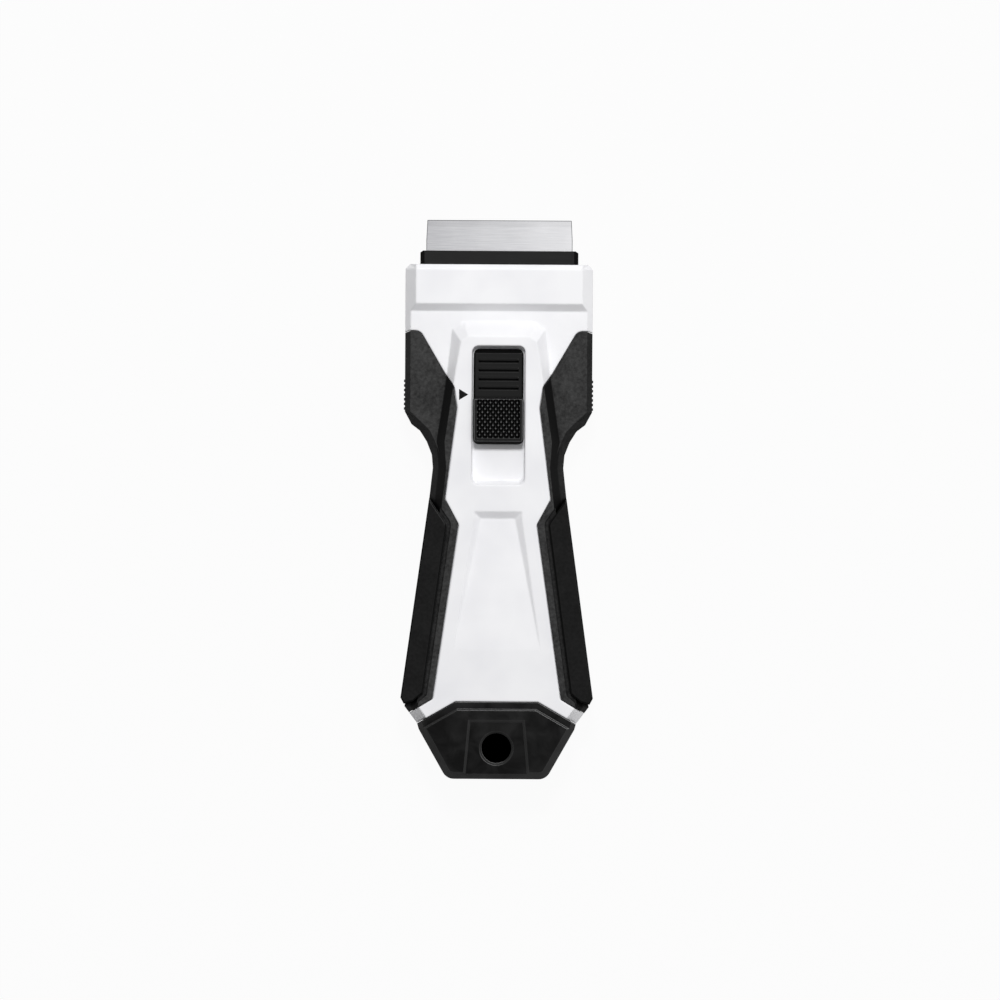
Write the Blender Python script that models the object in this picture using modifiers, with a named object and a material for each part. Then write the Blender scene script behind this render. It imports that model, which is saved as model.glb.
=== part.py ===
"""Hand scraper with a blade that slides out of a two-part moulded body.

The tool lies on its flat back. X runs across it, Y along it towards the blade and Z up from the
back. Lengthwise places are stations: distances from the tail end of the cap.
"""

import math

import bmesh
import bpy
from mathutils import Matrix, Vector

MM = 0.001

# Body: its length from the tail end, and how far behind the nose its form changes
body_length = 134.0 * MM
nose_corner = 1.2 * MM
nose_drop = 0.7 * MM
nose_step_setback = 10.2 * MM
wing_foot_setback = 38.4 * MM
neck_setback = 53.0 * MM
neck_foot_setback = 59.0 * MM
handle_station = 18.8 * MM
tail_shoulder_station = 14.4 * MM
tail_side_station = 12.9 * MM
tail_corner_station = 1.95 * MM

# Body widths, and how far the tail lies inside the handle's side
head_width = 48.8 * MM
neck_width = 34.0 * MM
neck_foot_width = 35.3 * MM
handle_width = 48.0 * MM
tail_shoulder_inset = 3.35 * MM
tail_side_inset = 3.75 * MM
tail_corner_inset = 9.95 * MM
tail_end_inset = 12.45 * MM

# Heights above the flat back
rear_chamfer_height = 3.5 * MM
rear_chamfer_run = 3.0 * MM
rear_nose_lift = 1.2 * MM
split_height = 8.0 * MM
side_height = 12.05 * MM
shoulder_height = 14.0 * MM
nose_height = 15.9 * MM
top_height = 17.0 * MM
flank_run = 3.5 * MM
shell_gap = 0.3 * MM
wall = 2.6 * MM

# Curve of the wing's lower edge: shares of the way in to the neck, and down to it; and how much
# of the wing's face is sloped at the first three of these places
wing_curve_shares = [(0.24, 0.226), (0.54, 0.342), (0.78, 0.534), (0.96, 0.767)]
wing_slope_shares = [0.44, 0.55, 0.87]

# Raised boss round the slider, and the flank that it becomes at the neck
boss_front_setback = 18.7 * MM
boss_foot_setback = 14.8 * MM
boss_front_width = 15.8 * MM
boss_corner_width = 19.8 * MM
boss_corner_setback = 20.1 * MM
boss_foot_front_width = 19.2 * MM
boss_foot_corner_width = 24.2 * MM
boss_foot_corner_setback = 16.8 * MM
boss_waist_setback = 28.4 * MM
boss_waist_width = 22.6 * MM
boss_root_width = 25.6 * MM

# Recess that the slider runs in, its slot and the notches of the latch
recess_side_gap = 0.2 * MM
recess_end_gap = 0.25 * MM
recess_front_run = 0.6 * MM
recess_draft = 0.15 * MM
recess_end_run = 1.1 * MM
recess_depth = 2.2 * MM
recess_floor_thickness = 1.8 * MM
recess_wall = 1.5 * MM
notch_depth = 1.0 * MM

# Sunken panel on the handle, deepest at its upper end
panel_top_setback = 64.3 * MM
panel_wall_length = 1.8 * MM
panel_end_station = 33.6 * MM
panel_depth = 1.2 * MM
panel_top_width = 12.6 * MM
panel_end_width = 22.6 * MM
panel_wall_run = 1.8 * MM

# Soft grips: rubber let into both shells, with ribs beside the wing and a raised pad on the handle.
# Their outlines lie inside the side of the head, the neck or the handle.
grip_depth = 1.3 * MM
grip_seam = 0.2 * MM
grip_outer_margin = 2.1 * MM
grip_top_setback = 17.2 * MM
grip_shoulder_setback = 18.6 * MM
grip_crown_inset = 1.25 * MM
grip_crown_inner_inset = 3.95 * MM
grip_slope_setback = 28.4 * MM
grip_slope_width = 27.8 * MM
grip_bend_setback = 31.7 * MM
grip_bend_width = 23.0 * MM
grip_waist_setback = 37.4 * MM
grip_waist_width = 21.2 * MM
grip_neck_setback = 61.15 * MM
grip_neck_inset = 4.0 * MM
grip_point_setback = 67.8 * MM
grip_point_inset = 7.6 * MM
grip_heel_station = 20.8 * MM
grip_heel_inset = 7.45 * MM
grip_end_station = 16.95 * MM
grip_end_inset = 1.1 * MM
grip_tip_station = 15.4 * MM
grip_crown_round = 2.4 * MM
grip_bend_round = 3.0 * MM
grip_neck_round = 1.6 * MM
grip_point_round = 1.8 * MM
grip_heel_round = 1.0 * MM
rear_grip_wing_inset = 4.1 * MM
rear_grip_wing_setback = 38.0 * MM
rear_grip_neck_inset = 4.2 * MM
wing_rib_count = 7
wing_rib_pitch = 1.2 * MM
wing_rib_setback = 30.4 * MM
wing_rib_width = 0.65 * MM
wing_rib_rise = 0.25 * MM
wing_rib_end = 0.6 * MM
pad_rise = 0.8 * MM
pad_chamfer = 0.4 * MM
pad_rear_lift = 0.3 * MM
pad_rear_chamfer = 1.2 * MM
pad_groove_width = 1.1 * MM
pad_groove_depth = 0.5 * MM
pad_top_setback = 61.0 * MM
pad_top_overhang = 0.25 * MM
pad_point_setback = 67.6 * MM
pad_point_inset = 4.4 * MM
pad_point_round = 1.8 * MM
pad_heel_station = 22.3 * MM
pad_heel_inset = 4.75 * MM
pad_cut_station = 20.2 * MM
pad_cut_inset = 2.25 * MM
pad_end_station = 19.5 * MM
pad_end_overhang = 0.2 * MM
pad_corner_station = 21.1 * MM
pad_corner_overhang = 1.05 * MM

# End cap and its hanging hole
cap_top_station = 20.0 * MM
cap_top_width = 21.5 * MM
cap_side_station = 14.3 * MM
cap_corner_round = 3.2 * MM
cap_wall = 1.8 * MM
cap_face_rise = 0.5 * MM
cap_chamfer = 1.8 * MM
cap_rear_chamfer = 1.4 * MM
cap_rim_width = 1.75 * MM
cap_rim_slope = 0.4 * MM
cap_panel_top_station = 14.8 * MM
cap_panel_top_width = 13.6 * MM
cap_panel_end_width = 16.4 * MM
cap_panel_depth = 0.45 * MM
cap_panel_run = 0.6 * MM
hole_station = 8.05 * MM
hole_radius = 3.9 * MM
hole_chamfer = 0.6 * MM
hole_tube_wall = 1.3 * MM

# Mouth guide in the nose
guide_reach = 3.6 * MM
guide_side_inset = 3.8 * MM
guide_height = 5.6 * MM
guide_end_run = 1.1 * MM
guide_end_height = 2.6 * MM
guide_corner_run = 0.7 * MM
guide_corner_length = 0.5 * MM
guide_back_setback = 3.2 * MM
guide_flange = 1.4 * MM
guide_flange_reach = 0.7 * MM
guide_flange_corner = 2.8 * MM
guide_flange_end_height = 4.4 * MM
guide_flange_low = 4.0 * MM
guide_flange_high = 12.4 * MM
guide_fit = 0.25 * MM
mouth_lip = 1.6 * MM
guide_stop_clear = 0.6 * MM
guide_stop_length = 1.7 * MM

# Blade, its folded spine and the way it slides
blade_reach = 8.0 * MM
blade_side_inset = 1.55 * MM
blade_taper = 0.25 * MM
blade_depth = 19.0 * MM
blade_kink = 5.1 * MM
blade_thickness = 0.25 * MM
blade_grind = 1.5 * MM
blade_edge_thickness = 0.05 * MM
blade_height = 8.0 * MM
spine_side_inset = 0.15 * MM
spine_depth = 3.75 * MM
spine_sheet = 0.35 * MM
spine_fit = 0.15 * MM
travel = 9.2 * MM
slide_gap = 0.3 * MM
seat_gap = 0.2 * MM

# Blade carrier
carrier_margin = 0.25 * MM
carrier_front_setback = 3.5 * MM
carrier_plate_setback = 15.0 * MM
carrier_plate_thickness = 2.0 * MM
tongue_inset = 0.25 * MM
tongue_thickness = 1.2 * MM
tongue_setback = 1.1 * MM
tower_width = 14.0 * MM
tower_back_setback = 50.0 * MM
tower_front_setback = 19.7 * MM
tower_wall = 1.5 * MM
tower_roof = 1.6 * MM
bridge_drop = 1.9 * MM
carrier_boss_radius = 2.4 * MM
carrier_boss_drop = 2.6 * MM

# Clamp plate and its two screws
clamp_side_inset = 1.55 * MM
clamp_thickness = 1.0 * MM
clamp_screw_inset = 5.5 * MM
clamp_screw_setback = 11.3 * MM
clamp_head_radius = 2.1 * MM
clamp_head_height = 0.9 * MM
clamp_shank_radius = 1.1 * MM
clamp_shank_length = 5.2 * MM
clamp_seat_drop = 0.95 * MM

# Thumb button with its stem: ribs on its upper half, a raised knurled block on its lower half
button_width = 13.2 * MM
button_length = 24.9 * MM
button_high_setback = 21.95 * MM
button_corner = 1.5 * MM
button_thickness = 2.0 * MM
button_edge = 0.45 * MM
button_plate_inset = 0.1 * MM
button_front_run = 1.2 * MM
button_front_drop = 1.3 * MM
button_back_run = 0.9 * MM
button_back_drop = 1.4 * MM
block_length = 12.05 * MM
block_corner = 0.5 * MM
block_rise = 0.9 * MM
block_lift = 0.4 * MM
press_travel = 1.0 * MM
stem_width = 4.4 * MM
stem_length = 3.8 * MM
barb_reach = 0.7 * MM
barb_height = 0.8 * MM
barb_lead = 0.3 * MM
barb_setback = 0.25 * MM
stem_slit = 1.0 * MM
thumb_rib_count = 4
thumb_rib_pitch = 2.34 * MM
thumb_rib_inset = 3.15 * MM
thumb_rib_length = 10.2 * MM
thumb_rib_width = 0.7 * MM
thumb_rib_height = 0.25 * MM
thumb_rib_crest_share = 0.25
thumb_groove_width = 0.55 * MM
thumb_groove_depth = 0.5 * MM
thumb_groove_undercut = 0.1 * MM
knurl_width = 11.2 * MM
knurl_inset = 1.6 * MM
knurl_length = 10.1 * MM
knurl_height = 0.42 * MM
knurl_sink = 0.04 * MM
knurl_across = 8
knurl_along = 6

# Leaf spring of the latch
leaf_width = 10.4 * MM
leaf_thickness = 0.4 * MM
leaf_anchor_height = 7.6 * MM
leaf_anchor_length = 5.0 * MM
leaf_anchor_setback = 2.2 * MM
leaf_ramp_length = 4.3 * MM
leaf_front_setback = 29.2 * MM
tooth_thickness = 0.8 * MM
tooth_length = 2.2 * MM
tooth_inset = 0.5 * MM
tooth_engagement = 0.7 * MM
rivet_radius = 0.9 * MM
rivet_head_radius = 1.7 * MM
rivet_head_height = 0.8 * MM
rivet_boss_width = 6.0 * MM
rivet_reach = 2.6 * MM

# Guide ribs, rails and the screws that join the shells
rib_thickness = 1.3 * MM
rib_back_setback = 61.5 * MM
rib_front_setback = 15.5 * MM
rail_inset = 3.6 * MM
rail_back_setback = 26.0 * MM
cavity_tail_station = 24.0 * MM
wing_screw_inset = 7.9 * MM
wing_screw_setback = 32.8 * MM
handle_screw_front_setback = 74.0 * MM
handle_screw_rear_station = 29.5 * MM
screw_head_radius = 2.6 * MM
screw_head_height = 1.6 * MM
screw_head_depth = 0.5 * MM
screw_radius = 1.25 * MM
screw_tip_height = 10.2 * MM
screw_fit = 0.2 * MM
screw_boss_radius = 3.1 * MM
screw_drive_radius = 1.1 * MM
screw_drive_depth = 0.9 * MM
screw_crown_share = 0.8
screw_arm_share = 0.3

# How far cutters run past what they cut, how far joined shapes run into each other, and welds
overrun = 1.0 * MM
bite = 0.5 * MM
weld = 0.002 * MM
flat_angle = 0.001
round_steps = 6
circle_steps = 32
small_circle_steps = 20

# Stations that follow the nose: distances from the tail end
nose_step_station = body_length - nose_step_setback
wing_foot_station = body_length - wing_foot_setback
neck_station = body_length - neck_setback
neck_foot_station = body_length - neck_foot_setback
boss_front_station = body_length - boss_front_setback
boss_foot_station = body_length - boss_foot_setback
boss_corner_station = body_length - boss_corner_setback
boss_foot_corner_station = body_length - boss_foot_corner_setback
boss_waist_station = body_length - boss_waist_setback
panel_top_station = body_length - panel_top_setback
panel_floor_station = panel_top_station - panel_wall_length
grip_top_station = body_length - grip_top_setback
grip_shoulder_station = body_length - grip_shoulder_setback
grip_slope_station = body_length - grip_slope_setback
grip_bend_station = body_length - grip_bend_setback
grip_waist_station = body_length - grip_waist_setback
grip_neck_station = body_length - grip_neck_setback
grip_point_station = body_length - grip_point_setback
rear_grip_wing_station = body_length - rear_grip_wing_setback
wing_rib_station = body_length - wing_rib_setback
pad_top_station = body_length - pad_top_setback
pad_point_station = body_length - pad_point_setback
guide_back_station = body_length - guide_back_setback
carrier_front_station = body_length - carrier_front_setback
carrier_plate_station = body_length - carrier_plate_setback
tower_back_station = body_length - tower_back_setback
tower_front_station = body_length - tower_front_setback
clamp_screw_station = body_length - clamp_screw_setback
leaf_front_station = body_length - leaf_front_setback
rib_back_station = body_length - rib_back_setback
rib_front_station = body_length - rib_front_setback
rail_back_station = body_length - rail_back_setback
wing_screw_station = body_length - wing_screw_setback
handle_screw_front_station = body_length - handle_screw_front_setback
button_high_station = body_length - button_high_setback
button_low_station = button_high_station - button_length
block_high_station = button_low_station + block_length
recess_floor_high = button_high_station + recess_end_gap
recess_floor_low = button_low_station - travel - slide_gap
knurl_low_station = button_low_station + knurl_inset
knurl_high_station = knurl_low_station + knurl_length

# Widths that follow the head, the neck and the handle
head_half = head_width / 2
neck_half = neck_width / 2
neck_foot_half = neck_foot_width / 2
handle_half = handle_width / 2
tail_shoulder_half = handle_half - tail_shoulder_inset
tail_side_half = handle_half - tail_side_inset
tail_corner_half = handle_half - tail_corner_inset
tail_end_half = handle_half - tail_end_inset
grip_outer_half = max(head_half, handle_half) + grip_outer_margin
guide_width = head_width - 2 * guide_side_inset
guide_flange_width = guide_width + 2 * guide_flange_reach
guide_flange_tall_width = guide_flange_width - 2 * guide_flange_corner
blade_width = guide_width - 2 * blade_side_inset
blade_edge_width = blade_width - 2 * blade_taper
spine_width = blade_width - 2 * spine_side_inset
carrier_width = blade_width + 2 * carrier_margin
tongue_width = blade_width - 2 * tongue_inset
clamp_width = blade_width - 2 * clamp_side_inset
clamp_screw_spacing = clamp_width - 2 * clamp_screw_inset
guide_stop_width = carrier_width + 2 * guide_stop_clear
rail_spacing = carrier_width - 2 * rail_inset
wing_screw_spacing = head_width - 2 * wing_screw_inset
recess_floor_width = button_width + 2 * recess_side_gap
recess_corner = button_corner + recess_side_gap

# Worked out from the sizes above
flank_slope = flank_run / (top_height - side_height)
shoulder_run = flank_slope * (shoulder_height - side_height)
nose_run = flank_slope * (nose_height - side_height)
overall_length = body_length + guide_reach + blade_reach
recess_floor_height = top_height - recess_depth
recess_underside = recess_floor_height - recess_floor_thickness
stem_station = button_low_station + button_length / 2
stem_low = stem_station - stem_length / 2
stem_high = stem_station + stem_length / 2
button_underside = recess_floor_height + press_travel + seat_gap
button_top = button_underside + button_thickness
block_top = button_top + block_rise
tower_top = recess_underside - slide_gap
roof_underside = tower_top - tower_roof
floor_height = wall
carrier_bottom = floor_height + slide_gap
seat_height = blade_height - seat_gap
blade_middle = blade_height + blade_thickness / 2
spine_half_height = blade_thickness / 2 + spine_fit + spine_sheet
blade_back_station = overall_length - blade_depth
spine_back_station = blade_back_station - spine_fit - spine_sheet
spine_front_station = spine_back_station + spine_depth
spine_pocket_back = spine_back_station - slide_gap
clamp_bottom = blade_middle + spine_half_height + seat_gap
clamp_top = clamp_bottom + clamp_thickness
leaf_top_station = tower_back_station + leaf_anchor_setback
tooth_low = stem_high + seat_gap + slide_gap
tooth_high = tooth_low + tooth_length
tooth_outer = leaf_width / 2 - tooth_inset + tooth_thickness / 2
tooth_inner = tooth_outer - tooth_thickness
stem_bottom = roof_underside - slide_gap - barb_height
leaf_flat_height = stem_bottom - seat_gap - leaf_thickness / 2
plate_low_height = seat_height - carrier_plate_thickness

parts = None
cutters = None


def along(station):
    """Y of a station, with the origin under the middle of the tool."""
    return station - overall_length / 2


def new_collection(name):
    collection = bpy.data.collections.new(name)
    bpy.context.scene.collection.children.link(collection)
    return collection


def new_object(name, mesh, collection):
    obj = bpy.data.objects.new(name, mesh)
    collection.objects.link(obj)
    if collection is cutters:
        obj.hide_render = True
        obj.display_type = "WIRE"
    return obj


def material(name, color, roughness, metallic=0.0):
    made = bpy.data.materials.get(name)
    if made is None:
        made = bpy.data.materials.new(name)
        made.use_nodes = True
        shader = made.node_tree.nodes["Principled BSDF"]
        shader.inputs["Base Color"].default_value = (*color, 1.0)
        shader.inputs["Roughness"].default_value = roughness
        shader.inputs["Metallic"].default_value = metallic
        made.diffuse_color = (*color, 1.0)
    return made


def white_abs():
    return material("white_abs", (0.86, 0.86, 0.88), 0.38)


def black_rubber():
    return material("black_rubber", (0.02, 0.02, 0.02), 0.75)


def black_nylon():
    return material("black_nylon", (0.015, 0.015, 0.015), 0.45)


def blade_steel():
    return material("blade_steel", (0.60, 0.60, 0.62), 0.28, 1.0)


def zinc_steel():
    return material("zinc_steel", (0.55, 0.55, 0.56), 0.35, 1.0)


def spring_steel():
    return material("spring_steel", (0.42, 0.43, 0.45), 0.32, 1.0)


def dress(obj, finish):
    """Give an object its one material."""
    obj.data.materials.clear()
    obj.data.materials.append(finish)
    return obj


def baked(obj):
    """Replace an object's data with its evaluated mesh, in world space and welded."""
    bpy.context.view_layer.update()
    graph = bpy.context.evaluated_depsgraph_get()
    mesh = bpy.data.meshes.new_from_object(obj.evaluated_get(graph))
    mesh.transform(obj.matrix_world)
    shape = bmesh.new()
    shape.from_mesh(mesh)
    bmesh.ops.remove_doubles(shape, verts=shape.verts, dist=weld)
    bmesh.ops.recalc_face_normals(shape, faces=shape.faces)
    shape.to_mesh(mesh)
    shape.free()
    name = obj.name
    collection = obj.users_collection[0]
    bpy.data.objects.remove(obj)
    mesh.name = name
    return new_object(name, mesh, collection)


def boolean(target, other, operation):
    step = target.modifiers.new(other.name, "BOOLEAN")
    step.object = other
    step.operation = operation
    step.solver = "EXACT"
    return target


def cut(target, *others):
    for other in others:
        boolean(target, other, "DIFFERENCE")
    return target


def join(target, *others):
    for other in others:
        boolean(target, other, "UNION")
    return target


def common(target, other):
    return boolean(target, other, "INTERSECT")


def box(name, low, high, collection):
    """Block between two corners, each (x, station, z)."""
    shape = bmesh.new()
    bmesh.ops.create_cube(shape, size=1.0)
    size = [b - a for a, b in zip(low, high)]
    middle = [(a + b) / 2 for a, b in zip(low, high)]
    middle[1] = along(middle[1])
    bmesh.ops.scale(shape, vec=size, verts=shape.verts)
    bmesh.ops.translate(shape, vec=middle, verts=shape.verts)
    mesh = bpy.data.meshes.new(name)
    shape.to_mesh(mesh)
    shape.free()
    return new_object(name, mesh, collection)


def cylinder(name, place, radius, low, high, collection, steps=small_circle_steps):
    """Upright cylinder at place (x, station), between two heights."""
    shape = bmesh.new()
    bmesh.ops.create_cone(
        shape, cap_ends=True, segments=steps, radius1=radius, radius2=radius, depth=high - low
    )
    middle = (place[0], along(place[1]), (low + high) / 2)
    bmesh.ops.translate(shape, vec=middle, verts=shape.verts)
    mesh = bpy.data.meshes.new(name)
    shape.to_mesh(mesh)
    shape.free()
    return new_object(name, mesh, collection)


def turned(name, place, profile, collection, steps=small_circle_steps):
    """Solid turned about an upright axis at place, from a profile of (radius, z), top to bottom."""
    mesh = bpy.data.meshes.new(name)
    points = [(radius, 0.0, z) for radius, z in profile]
    edges = [(i, i + 1) for i in range(len(points) - 1)]
    mesh.from_pydata(points, edges, [])
    obj = new_object(name, mesh, collection)
    obj.location = (place[0], along(place[1]), 0.0)
    screw = obj.modifiers.new("turn", "SCREW")
    screw.axis = "Z"
    screw.steps = steps
    screw.render_steps = steps
    screw.use_merge_vertices = True
    screw.merge_threshold = weld
    screw.use_smooth_shade = False
    return baked(obj)


def prism(name, outline, low, high, collection, across="Z"):
    """Flat outline given a thickness. Its two axes are X and Y, or X and Z, or Y and Z."""
    curve = bpy.data.curves.new(name, "CURVE")
    curve.dimensions = "2D"
    curve.fill_mode = "BOTH"
    curve.extrude = (high - low) / 2
    spline = curve.splines.new("POLY")
    spline.points.add(len(outline) - 1)
    for point, (u, v) in zip(spline.points, outline):
        point.co = (u, v, 0.0, 1.0)
    spline.use_cyclic_u = True
    obj = new_object(name, curve, collection)
    middle = (low + high) / 2
    if across == "Z":
        obj.matrix_world = Matrix.Translation((0.0, 0.0, middle))
    elif across == "Y":
        obj.matrix_world = Matrix.Translation((0.0, middle, 0.0)) @ Matrix.Rotation(
            math.pi / 2, 4, "X"
        )
    else:
        obj.matrix_world = Matrix.Translation((middle, 0.0, 0.0)) @ Matrix(
            ((0, 0, 1, 0), (1, 0, 0, 0), (0, 1, 0, 0), (0, 0, 0, 1))
        )
    return baked(obj)


def stack(name, layers, collection):
    """Loft upwards between outlines with equal counts of points, each layer (outline, z)."""
    shape = bmesh.new()
    rows = [[shape.verts.new((x, y, z)) for x, y in outline] for outline, z in layers]
    for lower, upper in zip(rows, rows[1:]):
        for i, vert in enumerate(lower):
            j = (i + 1) % len(lower)
            shape.faces.new((vert, lower[j], upper[j], upper[i]))
    shape.faces.new(list(reversed(rows[0])))
    shape.faces.new(rows[-1])
    mesh = bpy.data.meshes.new(name)
    shape.to_mesh(mesh)
    shape.free()
    return new_object(name, mesh, collection)


def half_loft(name, sections, collection, rear=False):
    """Loft along the tool from half sections, nose to tail, mirrored across the middle plane.

    A section is (station, profile), and a profile runs from its outer base to the middle.
    """
    shape = bmesh.new()
    rows = []
    for station, profile in sections:
        foot = (0.0, profile[0][1])
        row = [shape.verts.new((x, along(station), z)) for x, z in [foot] + profile]
        rows.append(row)
    faces = [list(reversed(rows[0])), rows[-1]]
    for near, far in zip(rows, rows[1:]):
        for a, b, c, d in zip(near, near[1:], far[1:], far):
            faces += [[a, b, c], [a, c, d]]
    for ring in faces:
        shape.faces.new(list(reversed(ring)) if rear else ring)
    mesh = bpy.data.meshes.new(name)
    shape.to_mesh(mesh)
    shape.free()
    obj = new_object(name, mesh, collection)
    mirror = obj.modifiers.new("mirror", "MIRROR")
    mirror.use_axis = (True, False, False)
    mirror.use_mirror_merge = True
    mirror.merge_threshold = weld
    return merged_flats(baked(obj))


def merged_flats(obj):
    """Join the faces of an object that lie in one plane."""
    shape = bmesh.new()
    shape.from_mesh(obj.data)
    bmesh.ops.dissolve_limit(shape, angle_limit=flat_angle, verts=shape.verts, edges=shape.edges)
    shape.to_mesh(obj.data)
    shape.free()
    return obj


def offset(outline, distance):
    """Outline moved inwards by a distance, or by one distance for each of its edges."""
    count = len(outline)
    distances = distance if isinstance(distance, list) else [distance] * count
    lines = []
    for i in range(count):
        start = Vector(outline[i])
        run = (Vector(outline[(i + 1) % count]) - start).normalized()
        inward = Vector((-run.y, run.x))
        lines.append((start + inward * distances[i], run))
    moved = []
    for i in range(count):
        start, run = lines[i - 1]
        other, direction = lines[i]
        cross = run.x * direction.y - run.y * direction.x
        gap = other - start
        reach = (gap.x * direction.y - gap.y * direction.x) / cross
        moved.append(tuple(start + run * reach))
    return moved


def rounded(corners):
    """Outline with filleted corners, from (x, station, radius) corners."""
    outline = []
    count = len(corners)
    for i, (x, station, radius) in enumerate(corners):
        corner = Vector((x, along(station)))
        if not radius:
            outline.append(tuple(corner))
            continue
        before = Vector((corners[i - 1][0], along(corners[i - 1][1]))) - corner
        after = corners[(i + 1) % count]
        after = Vector((after[0], along(after[1]))) - corner
        before.normalize()
        after.normalize()
        half = before.angle(after) / 2
        reach = radius / math.tan(half)
        centre = corner + (before + after).normalized() * (radius / math.sin(half))
        first = corner + before * reach - centre
        last = corner + after * reach - centre
        turn = first.angle_signed(last)
        for step in range(round_steps + 1):
            swing = -turn * step / round_steps
            cosine = math.cos(swing)
            sine = math.sin(swing)
            spoke = Vector(
                (first.x * cosine - first.y * sine, first.x * sine + first.y * cosine)
            )
            outline.append(tuple(centre + spoke))
    return outline


def sided(outline, side):
    """Outline for the right side as drawn, or mirrored to the left in the same turning sense."""
    if side > 0:
        return outline
    return [(-x, y) for x, y in reversed(outline)]


def both_sides(half):
    """Whole outline from its right half, listed from the tail end up."""
    return half + [(-x, y) for x, y in reversed(half)]


def wing_edge():
    """Half widths of the body where the wing curves in to the neck."""
    inwards = head_half - neck_half
    down = wing_foot_station - neck_station
    return [
        (wing_foot_station - down * share, head_half - inwards * reach)
        for reach, share in wing_curve_shares
    ]


def body_widths():
    """Stations and half widths of the body from the neck to the tail end."""
    return [
        (neck_station, neck_half),
        (neck_foot_station, neck_foot_half),
        (handle_station, handle_half),
        (tail_shoulder_station, tail_shoulder_half),
        (tail_side_station, tail_side_half),
        (tail_corner_station, tail_corner_half),
        (0.0, tail_end_half),
    ]


def slope_point(edge, height):
    """Point on the flank above an outer edge."""
    return (edge - flank_slope * (height - side_height), height)


def between(a, b, share):
    return tuple(p + (q - p) * share for p, q in zip(a, b))


def nose_profile(edge, base, height=nose_height):
    plateau = head_half - nose_run
    return [
        (edge, base),
        (edge, side_height),
        (plateau, height),
        (boss_corner_width / 2, height),
        (boss_front_width / 2, height),
        (boss_front_width / 4, height),
        (0.0, height),
    ]


def head_profile(edge, base, foot, *top, run=shoulder_run):
    """Section with a shoulder: outer edge, shoulder, then the boss from its foot to its top."""
    return [
        (edge, base),
        (edge, side_height),
        (edge - run, shoulder_height),
        (foot, shoulder_height),
        *top,
        (0.0, top[-1][1]),
    ]


def flank_profile(edge, base):
    """Section of the neck and handle: one flank from the side to the top."""
    return [
        (edge, base),
        (edge, side_height),
        slope_point(edge, shoulder_height),
        slope_point(edge, top_height),
        (0.0, top_height),
    ]


def boss_half_top(station):
    """Half width of the boss's top between its waist and its root."""
    share = (boss_waist_station - station) / (boss_waist_station - wing_foot_station)
    return (boss_waist_width + (boss_root_width - boss_waist_width) * share) / 2


def front_sections(base):
    """Sections of the front half, nose to tail."""
    run = flank_slope * (top_height - shoulder_height)
    foot_front = (boss_foot_front_width / 2, shoulder_height)
    foot_corner = (boss_foot_corner_width / 2, shoulder_height)
    foot_waist = (boss_waist_width / 2 + run, shoulder_height)
    flat_front = (boss_front_width / 2, shoulder_height)
    top_front = (boss_front_width / 2, top_height)
    top_corner = (boss_corner_width / 2, top_height)
    front_run = boss_foot_station - boss_front_station
    corner_run = boss_foot_corner_station - boss_corner_station
    side_run = boss_foot_corner_station - boss_waist_station
    to_front = boss_foot_corner_station - boss_front_station
    on_front = between(
        foot_front, top_front, (boss_foot_station - boss_foot_corner_station) / front_run
    )
    on_corner = between(foot_corner, top_corner, to_front / corner_run)
    front_foot = between(foot_corner, foot_waist, to_front / side_run)
    corner_foot = between(foot_corner, foot_waist, corner_run / side_run)
    plain = head_profile(head_half, base, foot_front[0], flat_front)
    on_edge = between(foot_corner, on_front, 1 / 2)
    sections = [
        (body_length, nose_profile(head_half - nose_corner, base, nose_height - nose_drop)),
        (body_length - nose_corner, nose_profile(head_half, base)),
        (nose_step_station, nose_profile(head_half, base)),
        (nose_step_station - (nose_height - shoulder_height), plain),
        (boss_foot_station, plain),
        (
            boss_foot_corner_station,
            head_profile(head_half, base, foot_corner[0], on_edge, on_front),
        ),
        (boss_front_station, head_profile(head_half, base, front_foot[0], on_corner, top_front)),
        (boss_corner_station, head_profile(head_half, base, corner_foot[0], top_corner)),
    ]
    for station in (boss_waist_station, wing_foot_station):
        top = (boss_half_top(station), top_height)
        sections.append((station, head_profile(head_half, base, top[0] + run, top)))
    curve = wing_edge()
    for (station, edge), share in zip(curve, wing_slope_shares):
        top = (boss_half_top(station), top_height)
        foot = top[0] + run
        slope = (edge - foot) * share
        sections.append((station, head_profile(edge, base, foot, top, run=slope)))
    for station, edge in curve[len(wing_slope_shares):] + body_widths():
        sections.append((station, flank_profile(edge, base)))
    return sections


def rear_profile(edge, base, lift):
    return [
        (edge, base),
        (edge, rear_chamfer_height + lift),
        (edge - rear_chamfer_run, lift),
        (0.0, lift),
    ]


def rear_sections(base):
    """Sections of the rear half, nose to tail, with the nose's underside sloping up."""
    widths = [
        (body_length, head_half - nose_corner),
        (body_length - nose_corner, head_half),
        (nose_step_station, head_half),
        (wing_foot_station, head_half),
    ]
    rise_run = body_length - nose_step_station
    sections = []
    for station, edge in widths + wing_edge() + body_widths():
        lift = rear_nose_lift * max(0.0, (station - nose_step_station) / rise_run)
        sections.append((station, rear_profile(edge, base, lift)))
    return sections


def inset_profile(profile, skin, turn):
    """Profile moved inwards by a skin. Turn is 1 for the front half and -1 for the rear."""
    points = [Vector(point) for point in profile]
    normals = []
    for start, end in zip(points, points[1:]):
        run = (end - start).normalized()
        normals.append(Vector((-run.y, run.x)) * turn)
    moved = [points[0] + normals[0] * skin]
    for point, before, after in zip(points[1:-1], normals, normals[1:]):
        moved.append(point + (before + after) * (skin / (1 + before.dot(after))))
    moved.append(points[-1] + normals[-1] * skin)
    return [tuple(point) for point in moved]


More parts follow.
